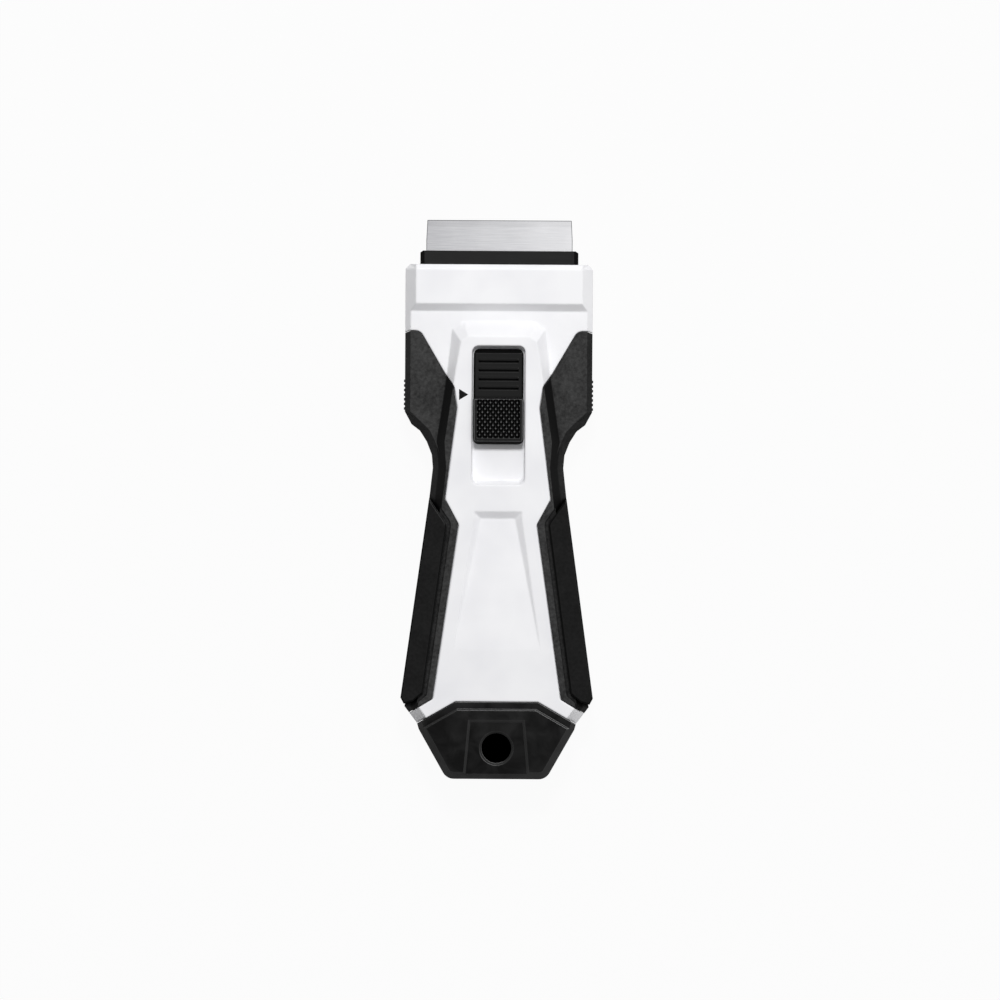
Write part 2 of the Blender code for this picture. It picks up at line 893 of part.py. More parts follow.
def filled(sections):
    """Sections with points added on their last slope, so that all have as many points."""
    most = max(len(profile) for _, profile in sections)
    full = []
    for station, profile in sections:
        steps = most - len(profile) + 1
        slope = [between(profile[-3], profile[-2], i / steps) for i in range(1, steps)]
        full.append((station, profile[:-2] + slope + profile[-2:]))
    return full


def blend_section(near, far, station):
    share = (near[0] - station) / (near[0] - far[0])
    return (station, [between(a, b, share) for a, b in zip(near[1], far[1])])


def clipped(sections, high, low):
    """Sections between two stations, with new ones worked out at the ends."""
    kept = [section for section in sections if low < section[0] < high]
    for near, far in zip(sections, sections[1:]):
        if near[0] >= high > far[0]:
            kept.insert(0, blend_section(near, far, high))
        if near[0] > low >= far[0]:
            kept.append(blend_section(near, far, low))
    return kept


def front_form(name, collection, skin, base, high=body_length, low=0.0):
    """The front half as a solid, moved inwards by a skin."""
    inset = [(s, inset_profile(profile, skin, 1)) for s, profile in front_sections(base)]
    return half_loft(name, clipped(filled(inset), high, low), collection)


def rear_form(name, collection, skin, base, high=body_length, low=0.0):
    """The rear half as a solid, moved inwards by a skin."""
    inset = [(s, inset_profile(profile, skin, -1)) for s, profile in rear_sections(base)]
    return half_loft(name, clipped(inset, high, low), collection, rear=True)


def tail_form(name, collection, skin, high, low):
    """The tail of both halves in one solid, moved inwards by a skin."""
    sections = []
    for station, edge in body_widths():
        back = inset_profile(rear_profile(edge, split_height, 0.0), skin, -1)
        front = inset_profile(flank_profile(edge, split_height), skin, 1)
        sections.append((station, [back[2], back[1]] + front[1:]))
    return half_loft(name, clipped(sections, high, low), collection)


def slab_beyond_split(front):
    """Cutter for everything on the other side of the gap between the shells."""
    half = 2 * grip_outer_half
    middle = split_height + (shell_gap if front else -shell_gap) / 2
    far = -2 * overrun if front else top_height + 2 * overrun
    return box(
        "below_split" if front else "above_split",
        (-half, -overrun, min(middle, far)),
        (half, overall_length, max(middle, far)),
        cutters,
    )


def front_grip_region():
    """Plan of the rubber on the right of the front half."""
    return rounded(
        [
            (grip_outer_half, grip_tip_station, 0),
            (grip_outer_half, grip_shoulder_station, 0),
            (head_half - grip_crown_inset, grip_top_station, 0),
            (head_half - grip_crown_inner_inset, grip_top_station, grip_crown_round),
            (grip_slope_width / 2, grip_slope_station, 0),
            (grip_bend_width / 2, grip_bend_station, grip_bend_round),
            (grip_waist_width / 2, grip_waist_station, grip_bend_round),
            (neck_foot_half - grip_neck_inset, grip_neck_station, grip_neck_round),
            (neck_foot_half - grip_point_inset, grip_point_station, grip_point_round),
            (handle_half - grip_heel_inset, grip_heel_station, grip_heel_round),
            (handle_half - grip_end_inset, grip_end_station, 0),
        ]
    )


def rear_grip_region():
    """Plan of the rubber on the right of the rear half, narrower on the wing."""
    return rounded(
        [
            (grip_outer_half, grip_tip_station, 0),
            (grip_outer_half, grip_shoulder_station, 0),
            (head_half - grip_crown_inset, grip_top_station, 0),
            (head_half - rear_grip_wing_inset, grip_top_station, grip_crown_round),
            (head_half - rear_grip_wing_inset, rear_grip_wing_station, 0),
            (neck_half - rear_grip_neck_inset, neck_station, 0),
            (neck_foot_half - grip_neck_inset, grip_neck_station, grip_neck_round),
            (neck_foot_half - grip_point_inset, grip_point_station, grip_point_round),
            (handle_half - grip_heel_inset, grip_heel_station, grip_heel_round),
            (handle_half - grip_end_inset, grip_end_station, 0),
        ]
    )


def pad_outline():
    """Plan of the raised pad on the right of the handle."""
    return rounded(
        [
            (handle_half + pad_end_overhang, pad_end_station, 0),
            (handle_half + pad_corner_overhang, pad_corner_station, 0),
            (neck_foot_half + pad_top_overhang, pad_top_station, 0),
            (neck_foot_half - pad_point_inset, pad_point_station, pad_point_round),
            (handle_half - pad_heel_inset, pad_heel_station, 0),
            (handle_half - pad_cut_inset, pad_cut_station, 0),
        ]
    )


def cap_outline():
    """The cap's plan, its tapering sides and its end meeting in rounded corners."""
    taper = (tail_side_half - tail_corner_half) / (tail_side_station - tail_corner_station)
    right = [
        (tail_corner_half - taper * tail_corner_station, 0.0, cap_corner_round),
        (tail_side_half, tail_side_station, 0),
        (tail_shoulder_half, cap_side_station, 0),
        (cap_top_width / 2, cap_top_station, 0),
    ]
    left = [(-x, station, radius) for x, station, radius in reversed(right)]
    return rounded(right + left)


def cap_plan(chamfer):
    """The cap's plan moved in by a chamfer on all its edges but the upper three."""
    outline = cap_outline()
    level = along(cap_side_station)
    starts = [y for _, y in outline]
    ends = starts[1:] + starts[:1]
    middles = [(start + end) / 2 for start, end in zip(starts, ends)]
    return offset(outline, [chamfer if middle < level else 0.0 for middle in middles])


def roof_region(distance, upwards):
    """Everything above, or below, the cap's upper edge moved in by a distance."""
    side = Vector((tail_shoulder_half, cap_side_station))
    top = Vector((cap_top_width / 2, cap_top_station))
    run = (top - side).normalized()
    level = cap_top_station - distance
    shifted = side + Vector((-run.y, run.x)) * distance
    slope = run.y / run.x
    edge = grip_outer_half
    corner = (shifted.x + (level - shifted.y) / slope, along(level))
    far = (edge, along(shifted.y + (edge - shifted.x) * slope))
    end = along(body_length) if upwards else along(0.0) - overrun
    return both_sides([(edge, end), far, corner] if not upwards else [corner, far, (edge, end)])


def grip_core(name, rear, skin):
    """What lies under the rubber."""
    past = 2 * overrun
    if rear:
        return rear_form(name, cutters, skin, split_height + past)
    return front_form(name, cutters, skin, split_height - past)


def grip_pocket(name, side, rear):
    """Cutter for the place where the rubber is let in."""
    region = sided(rear_grip_region() if rear else front_grip_region(), side)
    low = -overrun if rear else split_height - overrun
    high = split_height + overrun if rear else top_height + overrun
    pocket = prism(name, region, low, high, cutters)
    return cut(pocket, grip_core(name + "_floor", rear, grip_depth))


def raised_pad(name, side, rear):
    """The raised pad, to past the split between the shells."""
    outline = sided(pad_outline(), side)
    past = overrun + bite
    if rear:
        layers = [
            (offset(outline, pad_rear_chamfer), pad_rear_lift),
            (outline, pad_rear_lift + pad_rear_chamfer),
            (outline, split_height + past),
        ]
    else:
        crest = top_height + pad_rise
        layers = [
            (outline, split_height - past),
            (outline, crest - pad_chamfer),
            (offset(outline, pad_chamfer), crest),
        ]
    return stack(name, layers, cutters)


def wing_ribs(prefix, side, rear):
    """Short ribs down the side of the wing, to past the split between the shells."""
    low = rear_chamfer_height + wing_rib_end if rear else split_height - bite
    high = split_height + bite if rear else side_height - wing_rib_end
    edges = sorted((side * (head_half - bite), side * (head_half + wing_rib_rise)))
    made = []
    for index in range(wing_rib_count):
        station = wing_rib_station - index * wing_rib_pitch
        made.append(
            box(
                f"{prefix}_{index + 1}",
                (edges[0], station - wing_rib_width / 2, low),
                (edges[1], station + wing_rib_width / 2, high),
                cutters,
            )
        )
    return made


def make_grip(name, side, rear):
    """One rubber grip: the skin over the shell, a groove round its pad, and the pad."""
    if rear:
        grip = rear_form(name, parts, 0.0, split_height + overrun)
    else:
        grip = front_form(name, parts, 0.0, split_height - overrun)
    region = rear_grip_region() if rear else front_grip_region()
    seam = offset(sided(region, side), grip_seam)
    common(grip, prism(name + "_plan", seam, -overrun, top_height + overrun, cutters))
    if not rear:
        wide = offset(sided(pad_outline(), side), -pad_groove_width)
        groove = prism(
            name + "_groove", wide, top_height - pad_groove_depth, top_height + overrun, cutters
        )
        cut(grip, groove)
    join(grip, raised_pad(name + "_pad", side, rear), *wing_ribs(name + "_rib", side, rear))
    cut(grip, grip_core(name + "_core", rear, grip_depth - grip_seam))
    cut(grip, bpy.data.objects["above_split" if rear else "below_split"])
    return dress(grip, black_rubber())


def recess_outline(width, low, high):
    half = width / 2
    return rounded(
        [
            (half, low, recess_corner),
            (half, high, recess_corner),
            (-half, high, recess_corner),
            (-half, low, recess_corner),
        ]
    )


def recess_cutter():
    """The slider's recess, with drafted sides and a sloping lower end."""
    floor = recess_outline(recess_floor_width, recess_floor_low, recess_floor_high)
    grown = recess_floor_width + 2 * recess_draft
    mouth = recess_outline(
        grown, recess_floor_low - recess_end_run, recess_floor_high + recess_front_run
    )
    slope = (top_height + overrun - recess_floor_height) / recess_depth
    above = [
        (fx + (mx - fx) * slope, fy + (my - fy) * slope)
        for (fx, fy), (mx, my) in zip(floor, mouth)
    ]
    return stack(
        "recess", [(floor, recess_floor_height), (above, top_height + overrun)], cutters
    )


def panel_cutter():
    """The sunken panel: steep at its upper end, running out to nothing towards the tail."""
    rise = overrun / panel_depth
    sections = []
    ends = [
        (panel_top_station + (panel_top_station - panel_floor_station) * rise, -overrun, 0.0),
        (panel_floor_station, panel_depth, 0.0),
        (panel_end_station, 0.0, 1.0),
    ]
    fade = panel_floor_station - panel_end_station
    ends.append((panel_end_station - fade * rise / 4, -overrun / 4, 1.0 + rise / 4))
    for station, depth, share in ends:
        half = (panel_top_width + (panel_end_width - panel_top_width) * share) / 2
        floor = top_height - depth
        lip = top_height + overrun + bite
        run = panel_wall_run / panel_depth
        inner = half - run * depth
        outer = inner + run * (lip - floor)
        sections.append((station, [(outer, lip), (inner, floor), (0.0, floor)]))
    return half_loft("panel", sections, cutters, rear=True)


def tail_pocket(name, rear):
    """Cutter that leaves only the tongue for the cap to slide over."""
    low = -overrun if rear else split_height - overrun
    high = split_height + overrun if rear else top_height + overrun
    pocket = prism(name, roof_region(-grip_seam, upwards=False), low, high, cutters)
    skin = cap_wall + slide_gap
    past = 2 * overrun
    if rear:
        core = rear_form(
            name + "_tongue", cutters, skin, split_height + past, body_length, skin
        )
    else:
        core = front_form(
            name + "_tongue", cutters, skin, split_height - past, body_length, skin
        )
    return cut(pocket, core)


def tail_notch():
    """Slot in the tongue that clears the tube of the hanging hole."""
    half = hole_radius + hole_tube_wall + slide_gap
    outline = []
    for step in range(circle_steps // 2 + 1):
        swing = math.pi * step / (circle_steps // 2)
        outline.append((half * math.cos(swing), along(hole_station) + half * math.sin(swing)))
    outline.append((-half, along(0.0) - overrun))
    outline.append((half, along(0.0) - overrun))
    return prism("tail_notch", outline, -overrun, top_height + overrun, cutters)


def guide_outline():
    """Front view of the mouth guide's bar, as (x, z)."""
    half = guide_width / 2
    reach = guide_height / 2
    end = guide_end_height / 2
    shoulder = half - guide_end_run
    right = [(shoulder, -reach), (half, -end), (half, end), (shoulder, reach)]
    outline = right + [(-x, z) for x, z in reversed(right)]
    return [(x, split_height + z) for x, z in outline]


def mouth_cutter():
    """Opening in the nose for the mouth guide."""
    return prism(
        "mouth",
        offset(guide_outline(), -guide_fit),
        along(body_length - mouth_lip) - overrun,
        along(body_length) + overrun,
        cutters,
        across="Y",
    )


def guide_stops(prefix, low, high):
    """Two ribs that hold the mouth guide from behind."""
    made = []
    front = guide_back_station - slide_gap
    for side in (-1, 1):
        inner = side * guide_stop_width / 2
        outer = side * (head_half - wall + bite)
        made.append(
            box(
                f"{prefix}_{'left' if side < 0 else 'right'}",
                (min(inner, outer), front - guide_stop_length, low),
                (max(inner, outer), front, high),
                cutters,
            )
        )
    return made


def screw_places():
    """Names and places (x, station) of the screws that join the shells."""
    half = wing_screw_spacing / 2
    return [
        ("wing_screw_left", (-half, wing_screw_station)),
        ("wing_screw_right", (half, wing_screw_station)),
        ("handle_screw_front", (0.0, handle_screw_front_station)),
        ("handle_screw_rear", (0.0, handle_screw_rear_station)),
    ]


def latch_notches():
    """Four blind notches under the recess floor: two teeth, at two ends of the travel."""
    made = []
    for shift, end in ((0.0, "out"), (travel, "in")):
        for side in (-1, 1):
            edges = sorted((side * (tooth_inner - slide_gap), side * (tooth_outer + slide_gap)))
            made.append(
                box(
                    f"notch_{end}_{'left' if side < 0 else 'right'}",
                    (edges[0], tooth_low - shift - slide_gap, recess_underside - overrun),
                    (edges[1], tooth_high - shift + slide_gap, recess_underside + notch_depth),
                    cutters,
                )
            )
    return made


def make_front_shell():
    """Front half of the body: raised nose, boss, recess, sunken panel and inner bosses."""
    shell = front_form("front_shell", parts, 0.0, split_height - overrun)
    cavity = front_form(
        "front_cavity",
        cutters,
        wall,
        split_height - 2 * overrun,
        body_length - mouth_lip,
        cavity_tail_station,
    )
    cut(shell, cavity)
    tray_half = recess_floor_width / 2 + recess_wall
    tray = box(
        "recess_tray",
        (-tray_half, recess_floor_low - recess_wall, recess_underside),
        (tray_half, recess_floor_high + recess_wall, recess_floor_height + bite),
        cutters,
    )
    join(shell, tray)
    for name, place in screw_places():
        roof = shoulder_height if place[0] else top_height
        boss = cylinder(
            name + "_boss", place, screw_boss_radius, split_height - bite, roof - wall + bite,
            cutters,
        )
        join(shell, boss)
    join(shell, *guide_stops("front_stop", split_height - bite, side_height))
    slot_half = stem_width / 2 + slide_gap
    slot = box(
        "slot",
        (-slot_half, stem_low - travel - slide_gap, recess_underside - overrun),
        (slot_half, stem_high + slide_gap, recess_floor_height + overrun),
        cutters,
    )
    cut(shell, recess_cutter(), slot, panel_cutter(), *latch_notches())
    for name, place in screw_places():
        hole = cylinder(
            name + "_pilot", place, screw_radius + screw_fit, split_height - overrun - bite,
            screw_tip_height + slide_gap, cutters,
        )
        cut(shell, hole)
    cut(shell, bpy.data.objects["mouth"])
    cut(shell, grip_pocket("front_pocket_left", -1, rear=False))
    cut(shell, grip_pocket("front_pocket_right", 1, rear=False))
    cut(shell, tail_pocket("front_tail", rear=False), bpy.data.objects["tail_notch"])
    cut(shell, bpy.data.objects["below_split"])
    return dress(shell, white_abs())


def make_rear_shell():
    """Rear half of the body: flat back, guide ribs, rails and countersunk screw towers."""
    shell = rear_form("rear_shell", parts, 0.0, split_height + overrun)
    cavity = rear_form(
        "rear_cavity",
        cutters,
        wall,
        split_height + 2 * overrun,
        body_length - mouth_lip,
        cavity_tail_station,
    )
    cut(shell, cavity)
    for name, place in screw_places():
        tower = cylinder(
            name + "_tower", place, screw_boss_radius, wall - bite, split_height + bite, cutters
        )
        join(shell, tower)
    top = plate_low_height - slide_gap
    for side in (-1, 1):
        word = "left" if side < 0 else "right"
        inner = tower_width / 2 + slide_gap
        edges = sorted((side * inner, side * (inner + rib_thickness)))
        rib = box(
            "guide_rib_" + word,
            (edges[0], rib_back_station, wall - bite),
            (edges[1], rib_front_station, top),
            cutters,
        )
        middle = rail_spacing / 2
        edges = sorted((side * (middle - rib_thickness / 2), side * (middle + rib_thickness / 2)))
        rail = box(
            "plate_rail_" + word,
            (edges[0], rail_back_station, wall - bite),
            (edges[1], guide_back_station - slide_gap, top),
            cutters,
        )
        join(shell, rib, rail)
    join(shell, *guide_stops("rear_stop", wall, split_height + bite))
    for name, place in screw_places():
        hole = cylinder(
            name + "_hole", place, screw_radius + screw_fit, -overrun,
            split_height + overrun + bite, cutters,
        )
        seat = cylinder(
            name + "_seat", place, screw_head_radius + slide_gap, -2 * overrun,
            screw_head_depth + screw_head_height + slide_gap, cutters,
        )
        cut(shell, hole, seat)
    cut(shell, bpy.data.objects["mouth"])
    cut(shell, grip_pocket("rear_pocket_left", -1, rear=True))
    cut(shell, grip_pocket("rear_pocket_right", 1, rear=True))
    cut(shell, tail_pocket("rear_tail", rear=True), bpy.data.objects["tail_notch"])
    cut(shell, bpy.data.objects["above_split"])
    return dress(shell, white_abs())


def make_end_cap():
    """Cap over the tail: chamfered round its sides, stepped along its upper edge, bored through."""
    face = top_height + cap_face_rise
    layers = [
        (cap_plan(cap_rear_chamfer), 0.0),
        (cap_outline(), cap_rear_chamfer),
        (cap_outline(), face - cap_chamfer),
        (cap_plan(cap_chamfer), face),
    ]
    cap = stack("end_cap", layers, parts)
    rim_slope_rise = cap_face_rise + overrun
    rim = stack(
        "cap_rim",
        [
            (roof_region(cap_rim_width, upwards=True), top_height),
            (
                roof_region(
                    cap_rim_width + cap_rim_slope * rim_slope_rise / cap_face_rise, upwards=True
                ),
                top_height + rim_slope_rise,
            ),
        ],
        cutters,
    )
    trapezoid = both_sides(
        [
            (cap_panel_end_width / 2, along(0.0) - overrun),
            (cap_panel_top_width / 2, along(cap_panel_top_station)),
        ]
    )
    panel_grow = cap_panel_run * (cap_panel_depth + overrun) / cap_panel_depth
    panel = stack(
        "cap_panel",
        [(trapezoid, face - cap_panel_depth), (offset(trapezoid, -panel_grow), face + overrun)],
        cutters,
    )
    cut(cap, rim, panel)
    cut(cap, tail_form("cap_core", cutters, cap_wall, cap_top_station + overrun, cap_wall))
    place = (0.0, hole_station)
    floor = face - cap_panel_depth
    tube = cylinder(
        "hole_tube", place, hole_radius + hole_tube_wall, cap_wall - bite,
        top_height - cap_wall + bite, cutters, circle_steps,
    )
    bore = turned(
        "hole_bore",
        place,
        [
            (0.0, floor + overrun),
            (hole_radius + hole_chamfer + overrun, floor + overrun),
            (hole_radius, floor - hole_chamfer),
            (hole_radius, hole_chamfer),
            (hole_radius + hole_chamfer + overrun, -overrun),
            (0.0, -overrun),
        ],
        cutters,
        circle_steps,
    )
    join(cap, tube)
    cut(cap, bore)
    return dress(cap, black_nylon())


def make_mouth_guide():
    """Frame in the nose: a bar with sloping ends, a wider flange behind and a slot through."""
    half = guide_flange_width / 2
    tall = guide_flange_tall_width / 2
    end = guide_flange_end_height / 2
    right = [
        (tall, guide_flange_low),
        (half, split_height - end),
        (half, split_height + end),
        (tall, guide_flange_high),
    ]
    back = along(guide_back_station)
    guide = prism(
        "mouth_guide",
        right + [(-x, z) for x, z in reversed(right)],
        back,
        back + guide_flange,
        parts,
        across="Y",
    )
    bar = prism(
        "guide_bar",
        guide_outline(),
        back + bite,
        along(body_length + guide_reach),
        cutters,
        across="Y",
    )
    slot = box(
        "guide_slot",
        (
            -blade_width / 2 - slide_gap,
            guide_back_station - overrun,
            seat_height - tongue_thickness - slide_gap,
        ),
        (
            blade_width / 2 + slide_gap,
            body_length + guide_reach + overrun,
            blade_height + blade_thickness + slide_gap,
        ),
        cutters,
    )
    side = guide_width / 2
    front = along(body_length + guide_reach)
    plan = prism(
        "guide_bar_plan",
        both_sides(
            [
                (side + overrun, back - overrun),
                (side + overrun, front - guide_corner_length),
                (side, front - guide_corner_length),
                (side - guide_corner_run, front),
                (side - guide_corner_run, front + overrun),
            ]
        ),
        -overrun,
        top_height,
        cutters,
    )
    common(bar, plan)
    join(guide, bar)
    cut(guide, slot)
    return dress(guide, black_nylon())


def make_blade():
    """Single-edge blade: flat strip, slightly narrower and ground thin at its edge."""
    low = blade_height
    high = blade_height + blade_thickness
    thin_low = blade_middle - blade_edge_thickness / 2
    thin_high = blade_middle + blade_edge_thickness / 2
    edge = blade_edge_width / 2
    full = blade_width / 2
    ground = edge + (full - edge) * blade_grind / blade_kink
    sections = [
        (overall_length, [(edge, thin_low), (edge, thin_high), (0.0, thin_high)]),
        (overall_length - blade_grind, [(ground, low), (ground, high), (0.0, high)]),
        (overall_length - blade_kink, [(full, low), (full, high), (0.0, high)]),
        (blade_back_station, [(full, low), (full, high), (0.0, high)]),
    ]
    blade = half_loft("blade", sections, parts)
    return dress(blade, blade_steel())


def make_blade_spine():
    """Steel strip folded over the blade's back edge."""
    back = along(spine_back_station)
    front = along(spine_front_station)
    inner = spine_half_height - spine_sheet
    web = back + spine_sheet
    right = [
        (back, -spine_half_height),
        (front, -spine_half_height),
        (front, -inner),
        (web, -inner),
        (web, inner),
        (front, inner),
        (front, spine_half_height),
        (back, spine_half_height),
    ]
    outline = [(y, blade_middle + z) for y, z in right]
    spine = prism("blade_spine", outline, -spine_width / 2, spine_width / 2, parts, across="X")
    return dress(spine, blade_steel())


def clamp_screw_places():
    half = clamp_screw_spacing / 2
    return [("left", (-half, clamp_screw_station)), ("right", (half, clamp_screw_station))]


def make_blade_clamp():
    """Plate that presses on the spine, with a foot behind it on the carrier's seat."""
    back = along(carrier_plate_station + bite + slide_gap)
    front = along(spine_front_station)
    foot_front = along(spine_pocket_back)
    outline = [
        (back, blade_height),
        (foot_front, blade_height),
        (foot_front, clamp_bottom),
        (front, clamp_bottom),
        (front, clamp_top),
        (back, clamp_top),
    ]
    clamp = prism("blade_clamp", outline, -clamp_width / 2, clamp_width / 2, parts, across="X")
    for word, place in clamp_screw_places():
        hole = cylinder(
            "clamp_hole_" + word, place, clamp_shank_radius + screw_fit,
            blade_height - overrun, clamp_top + overrun, cutters,
        )
        seat = cylinder(
            "clamp_seat_" + word, place, clamp_head_radius + screw_fit,
            clamp_top - clamp_seat_drop, clamp_top + overrun, cutters,
        )
        cut(clamp, hole, seat)
    return dress(clamp, spring_steel())


def make_screw(name, place, head, head_radius, shank_radius, head_low, head_high, tip):
    """Screw turned about its axis, with a cross recess in its head. Head is 1 up or -1 down."""
    middle = (head_low + head_high) / 2
    outer = head_high if head > 0 else head_low
    inner = head_low if head > 0 else head_high
    cone = shank_radius * head
    heights = [
        (0.0, outer),
        (head_radius * screw_crown_share, outer),
        (head_radius, middle),
        (head_radius, inner),
        (shank_radius, inner),
        (shank_radius, tip + cone),
        (0.0, tip),
    ]
    if head < 0:
        heights.reverse()
    screw = turned(name, place, heights, parts)
    depth = screw_drive_depth * head_radius / screw_head_radius
    reach = screw_drive_radius * head_radius / screw_head_radius
    arm = reach * screw_arm_share
    for word, (x, y) in (("a", (reach, arm)), ("b", (arm, reach))):
        inside = outer - head * depth
        outside = outer + head * overrun
        blade = box(
            f"{name}_drive_{word}",
            (place[0] - x, place[1] - y, min(inside, outside)),
            (place[0] + x, place[1] + y, max(inside, outside)),
            cutters,
        )
        cut(screw, blade)
    return dress(screw, zinc_steel())


def make_clamp_screws():
    made = []
    floor = clamp_top - clamp_seat_drop + seat_gap
    for word, place in clamp_screw_places():
        made.append(
            make_screw(
                "clamp_screw_" + word, place, 1, clamp_head_radius, clamp_shank_radius,
                floor, floor + clamp_head_height, floor - clamp_shank_length,
            )
        )
    return made


def make_housing_screws():
    made = []
    low = screw_head_depth
    for name, place in screw_places():
        made.append(
            make_screw(
                name, place, -1, screw_head_radius, screw_radius,
                low, low + screw_head_height, screw_tip_height,
            )
        )
    return made


def make_blade_carrier():
    """Carrier: a seat plate with its tongue in front, and a hollow tower under the button."""
    half = carrier_width / 2
    plate = box(
        "blade_carrier",
        (-half, carrier_plate_station, plate_low_height),
        (half, carrier_front_station, seat_height),
        parts,
    )
    tongue_half = tongue_width / 2
    tongue = box(
        "tongue",
        (-tongue_half, spine_front_station + slide_gap, seat_height - tongue_thickness),
        (tongue_half, body_length + guide_reach - tongue_setback, seat_height),
        cutters,
    )
    tower_half = tower_width / 2
    tower = box(
        "tower",
        (-tower_half, tower_back_station, carrier_bottom),
        (tower_half, tower_front_station, tower_top),
        cutters,
    )
    bridge = box(
        "bridge",
        (-tower_half, tower_front_station - bite, carrier_bottom),
        (tower_half, carrier_plate_station + bite, tower_top - bridge_drop),
        cutters,
    )
    pocket = box(
        "spine_pocket",
        (-half - overrun, spine_pocket_back, blade_middle - spine_half_height - seat_gap),
        (half + overrun, spine_front_station + slide_gap, seat_height + overrun),
        cutters,
    )
    hollow_half = tower_half - tower_wall
    hollow = box(
        "tower_hollow",
        (-hollow_half, tower_back_station + tower_wall, carrier_bottom - overrun),
        (hollow_half, tower_front_station - tower_wall, roof_underside),
        cutters,
    )
    bridge_hollow = box(
        "bridge_hollow",
        (-hollow_half, tower_front_station - 2 * tower_wall, carrier_bottom - overrun),
        (
            hollow_half,
            carrier_plate_station - tower_wall,
            roof_underside - bridge_drop,
        ),
        cutters,
    )
    join(plate, tongue, tower, bridge)
    for word, place in clamp_screw_places():
        boss = cylinder(
            "carrier_boss_" + word, place, carrier_boss_radius,
            plate_low_height - carrier_boss_drop, plate_low_height + bite, cutters,
        )
        join(plate, boss)
    cut(plate, pocket, hollow, bridge_hollow)
    for word, place in clamp_screw_places():
        tip = clamp_top - clamp_seat_drop + seat_gap - clamp_shank_length
        pilot = cylinder(
            "carrier_pilot_" + word, place, clamp_shank_radius + screw_fit,
            tip - slide_gap, seat_height + overrun, cutters,
        )
        cut(plate, pilot)
    rivet_station = leaf_top_station + leaf_anchor_length / 2
    anchor_top = leaf_anchor_height + leaf_thickness / 2
    rivet_boss = box(
        "rivet_boss",
        (-rivet_boss_width / 2, tower_back_station + bite, anchor_top + seat_gap),
        (
            rivet_boss_width / 2,
            leaf_top_station + leaf_anchor_length - slide_gap,
            roof_underside + bite,
        ),
        cutters,
    )
    rivet_hole = cylinder(
        "rivet_hole", (0.0, rivet_station), rivet_radius + screw_fit,
        anchor_top - overrun, anchor_top + rivet_reach + slide_gap, cutters,
    )
    join(plate, rivet_boss)
    cut(plate, rivet_hole)
    stem_half = stem_width / 2 + slide_gap
    stem_hole = box(
        "stem_hole",
        (-stem_half, stem_low - slide_gap, roof_underside - overrun),
        (stem_half, stem_high + slide_gap, tower_top + overrun),
        cutters,
    )
    cut(plate, stem_hole)
    for side in (-1, 1):
        edges = sorted((side * (tooth_inner - slide_gap), side * (tooth_outer + slide_gap)))
        window = box(
            f"tooth_window_{'left' if side < 0 else 'right'}",
            (edges[0], tooth_low - slide_gap, roof_underside - overrun),
            (edges[1], tooth_high + slide_gap, tower_top + overrun),
            cutters,
        )
        cut(plate, window)
    return dress(plate, black_nylon())


def make_latch_spring():
    """Leaf spring: flat anchor, a ramp up, and a flat end with two teeth."""
    start = along(leaf_top_station)
    bend = start + leaf_anchor_length
    crest = bend + leaf_ramp_length
    end = along(leaf_front_station)
    half = leaf_thickness / 2
    low = leaf_anchor_height
    high = leaf_flat_height
    middle = [(start, low), (bend, low), (crest, high), (end, high)]
    outline = [(y, z - half) for y, z in middle] + [(y, z + half) for y, z in reversed(middle)]
    leaf = prism("latch_spring", outline, -leaf_width / 2, leaf_width / 2, parts, across="X")
    for side in (-1, 1):
        edges = sorted((side * tooth_inner, side * tooth_outer))
        tooth = box(
            f"tooth_{'left' if side < 0 else 'right'}",
            (edges[0], tooth_low, leaf_flat_height - half / 2),
            (edges[1], tooth_high, recess_underside + tooth_engagement),
            cutters,
        )
        join(leaf, tooth)
    hole = cylinder(
        "leaf_hole", (0.0, leaf_top_station + leaf_anchor_length / 2), rivet_radius + screw_fit,
        low - overrun, low + overrun, cutters,
    )
    cut(leaf, hole)
    return dress(leaf, spring_steel())


def make_spring_rivet():
    """Rivet with its head under the leaf spring."""
    top = leaf_anchor_height + leaf_thickness / 2 + rivet_reach
    shoulder = leaf_anchor_height - leaf_thickness / 2 - seat_gap
    rivet = turned(
        "spring_rivet",
        (0.0, leaf_top_station + leaf_anchor_length / 2),
        [
            (0.0, top),
            (rivet_radius, top),
            (rivet_radius, shoulder),
            (rivet_head_radius, shoulder),
            (rivet_head_radius, shoulder - rivet_head_height / 2),
            (rivet_radius, shoulder - rivet_head_height),
            (0.0, shoulder - rivet_head_height),
        ],
        parts,
    )
    return dress(rivet, zinc_steel())


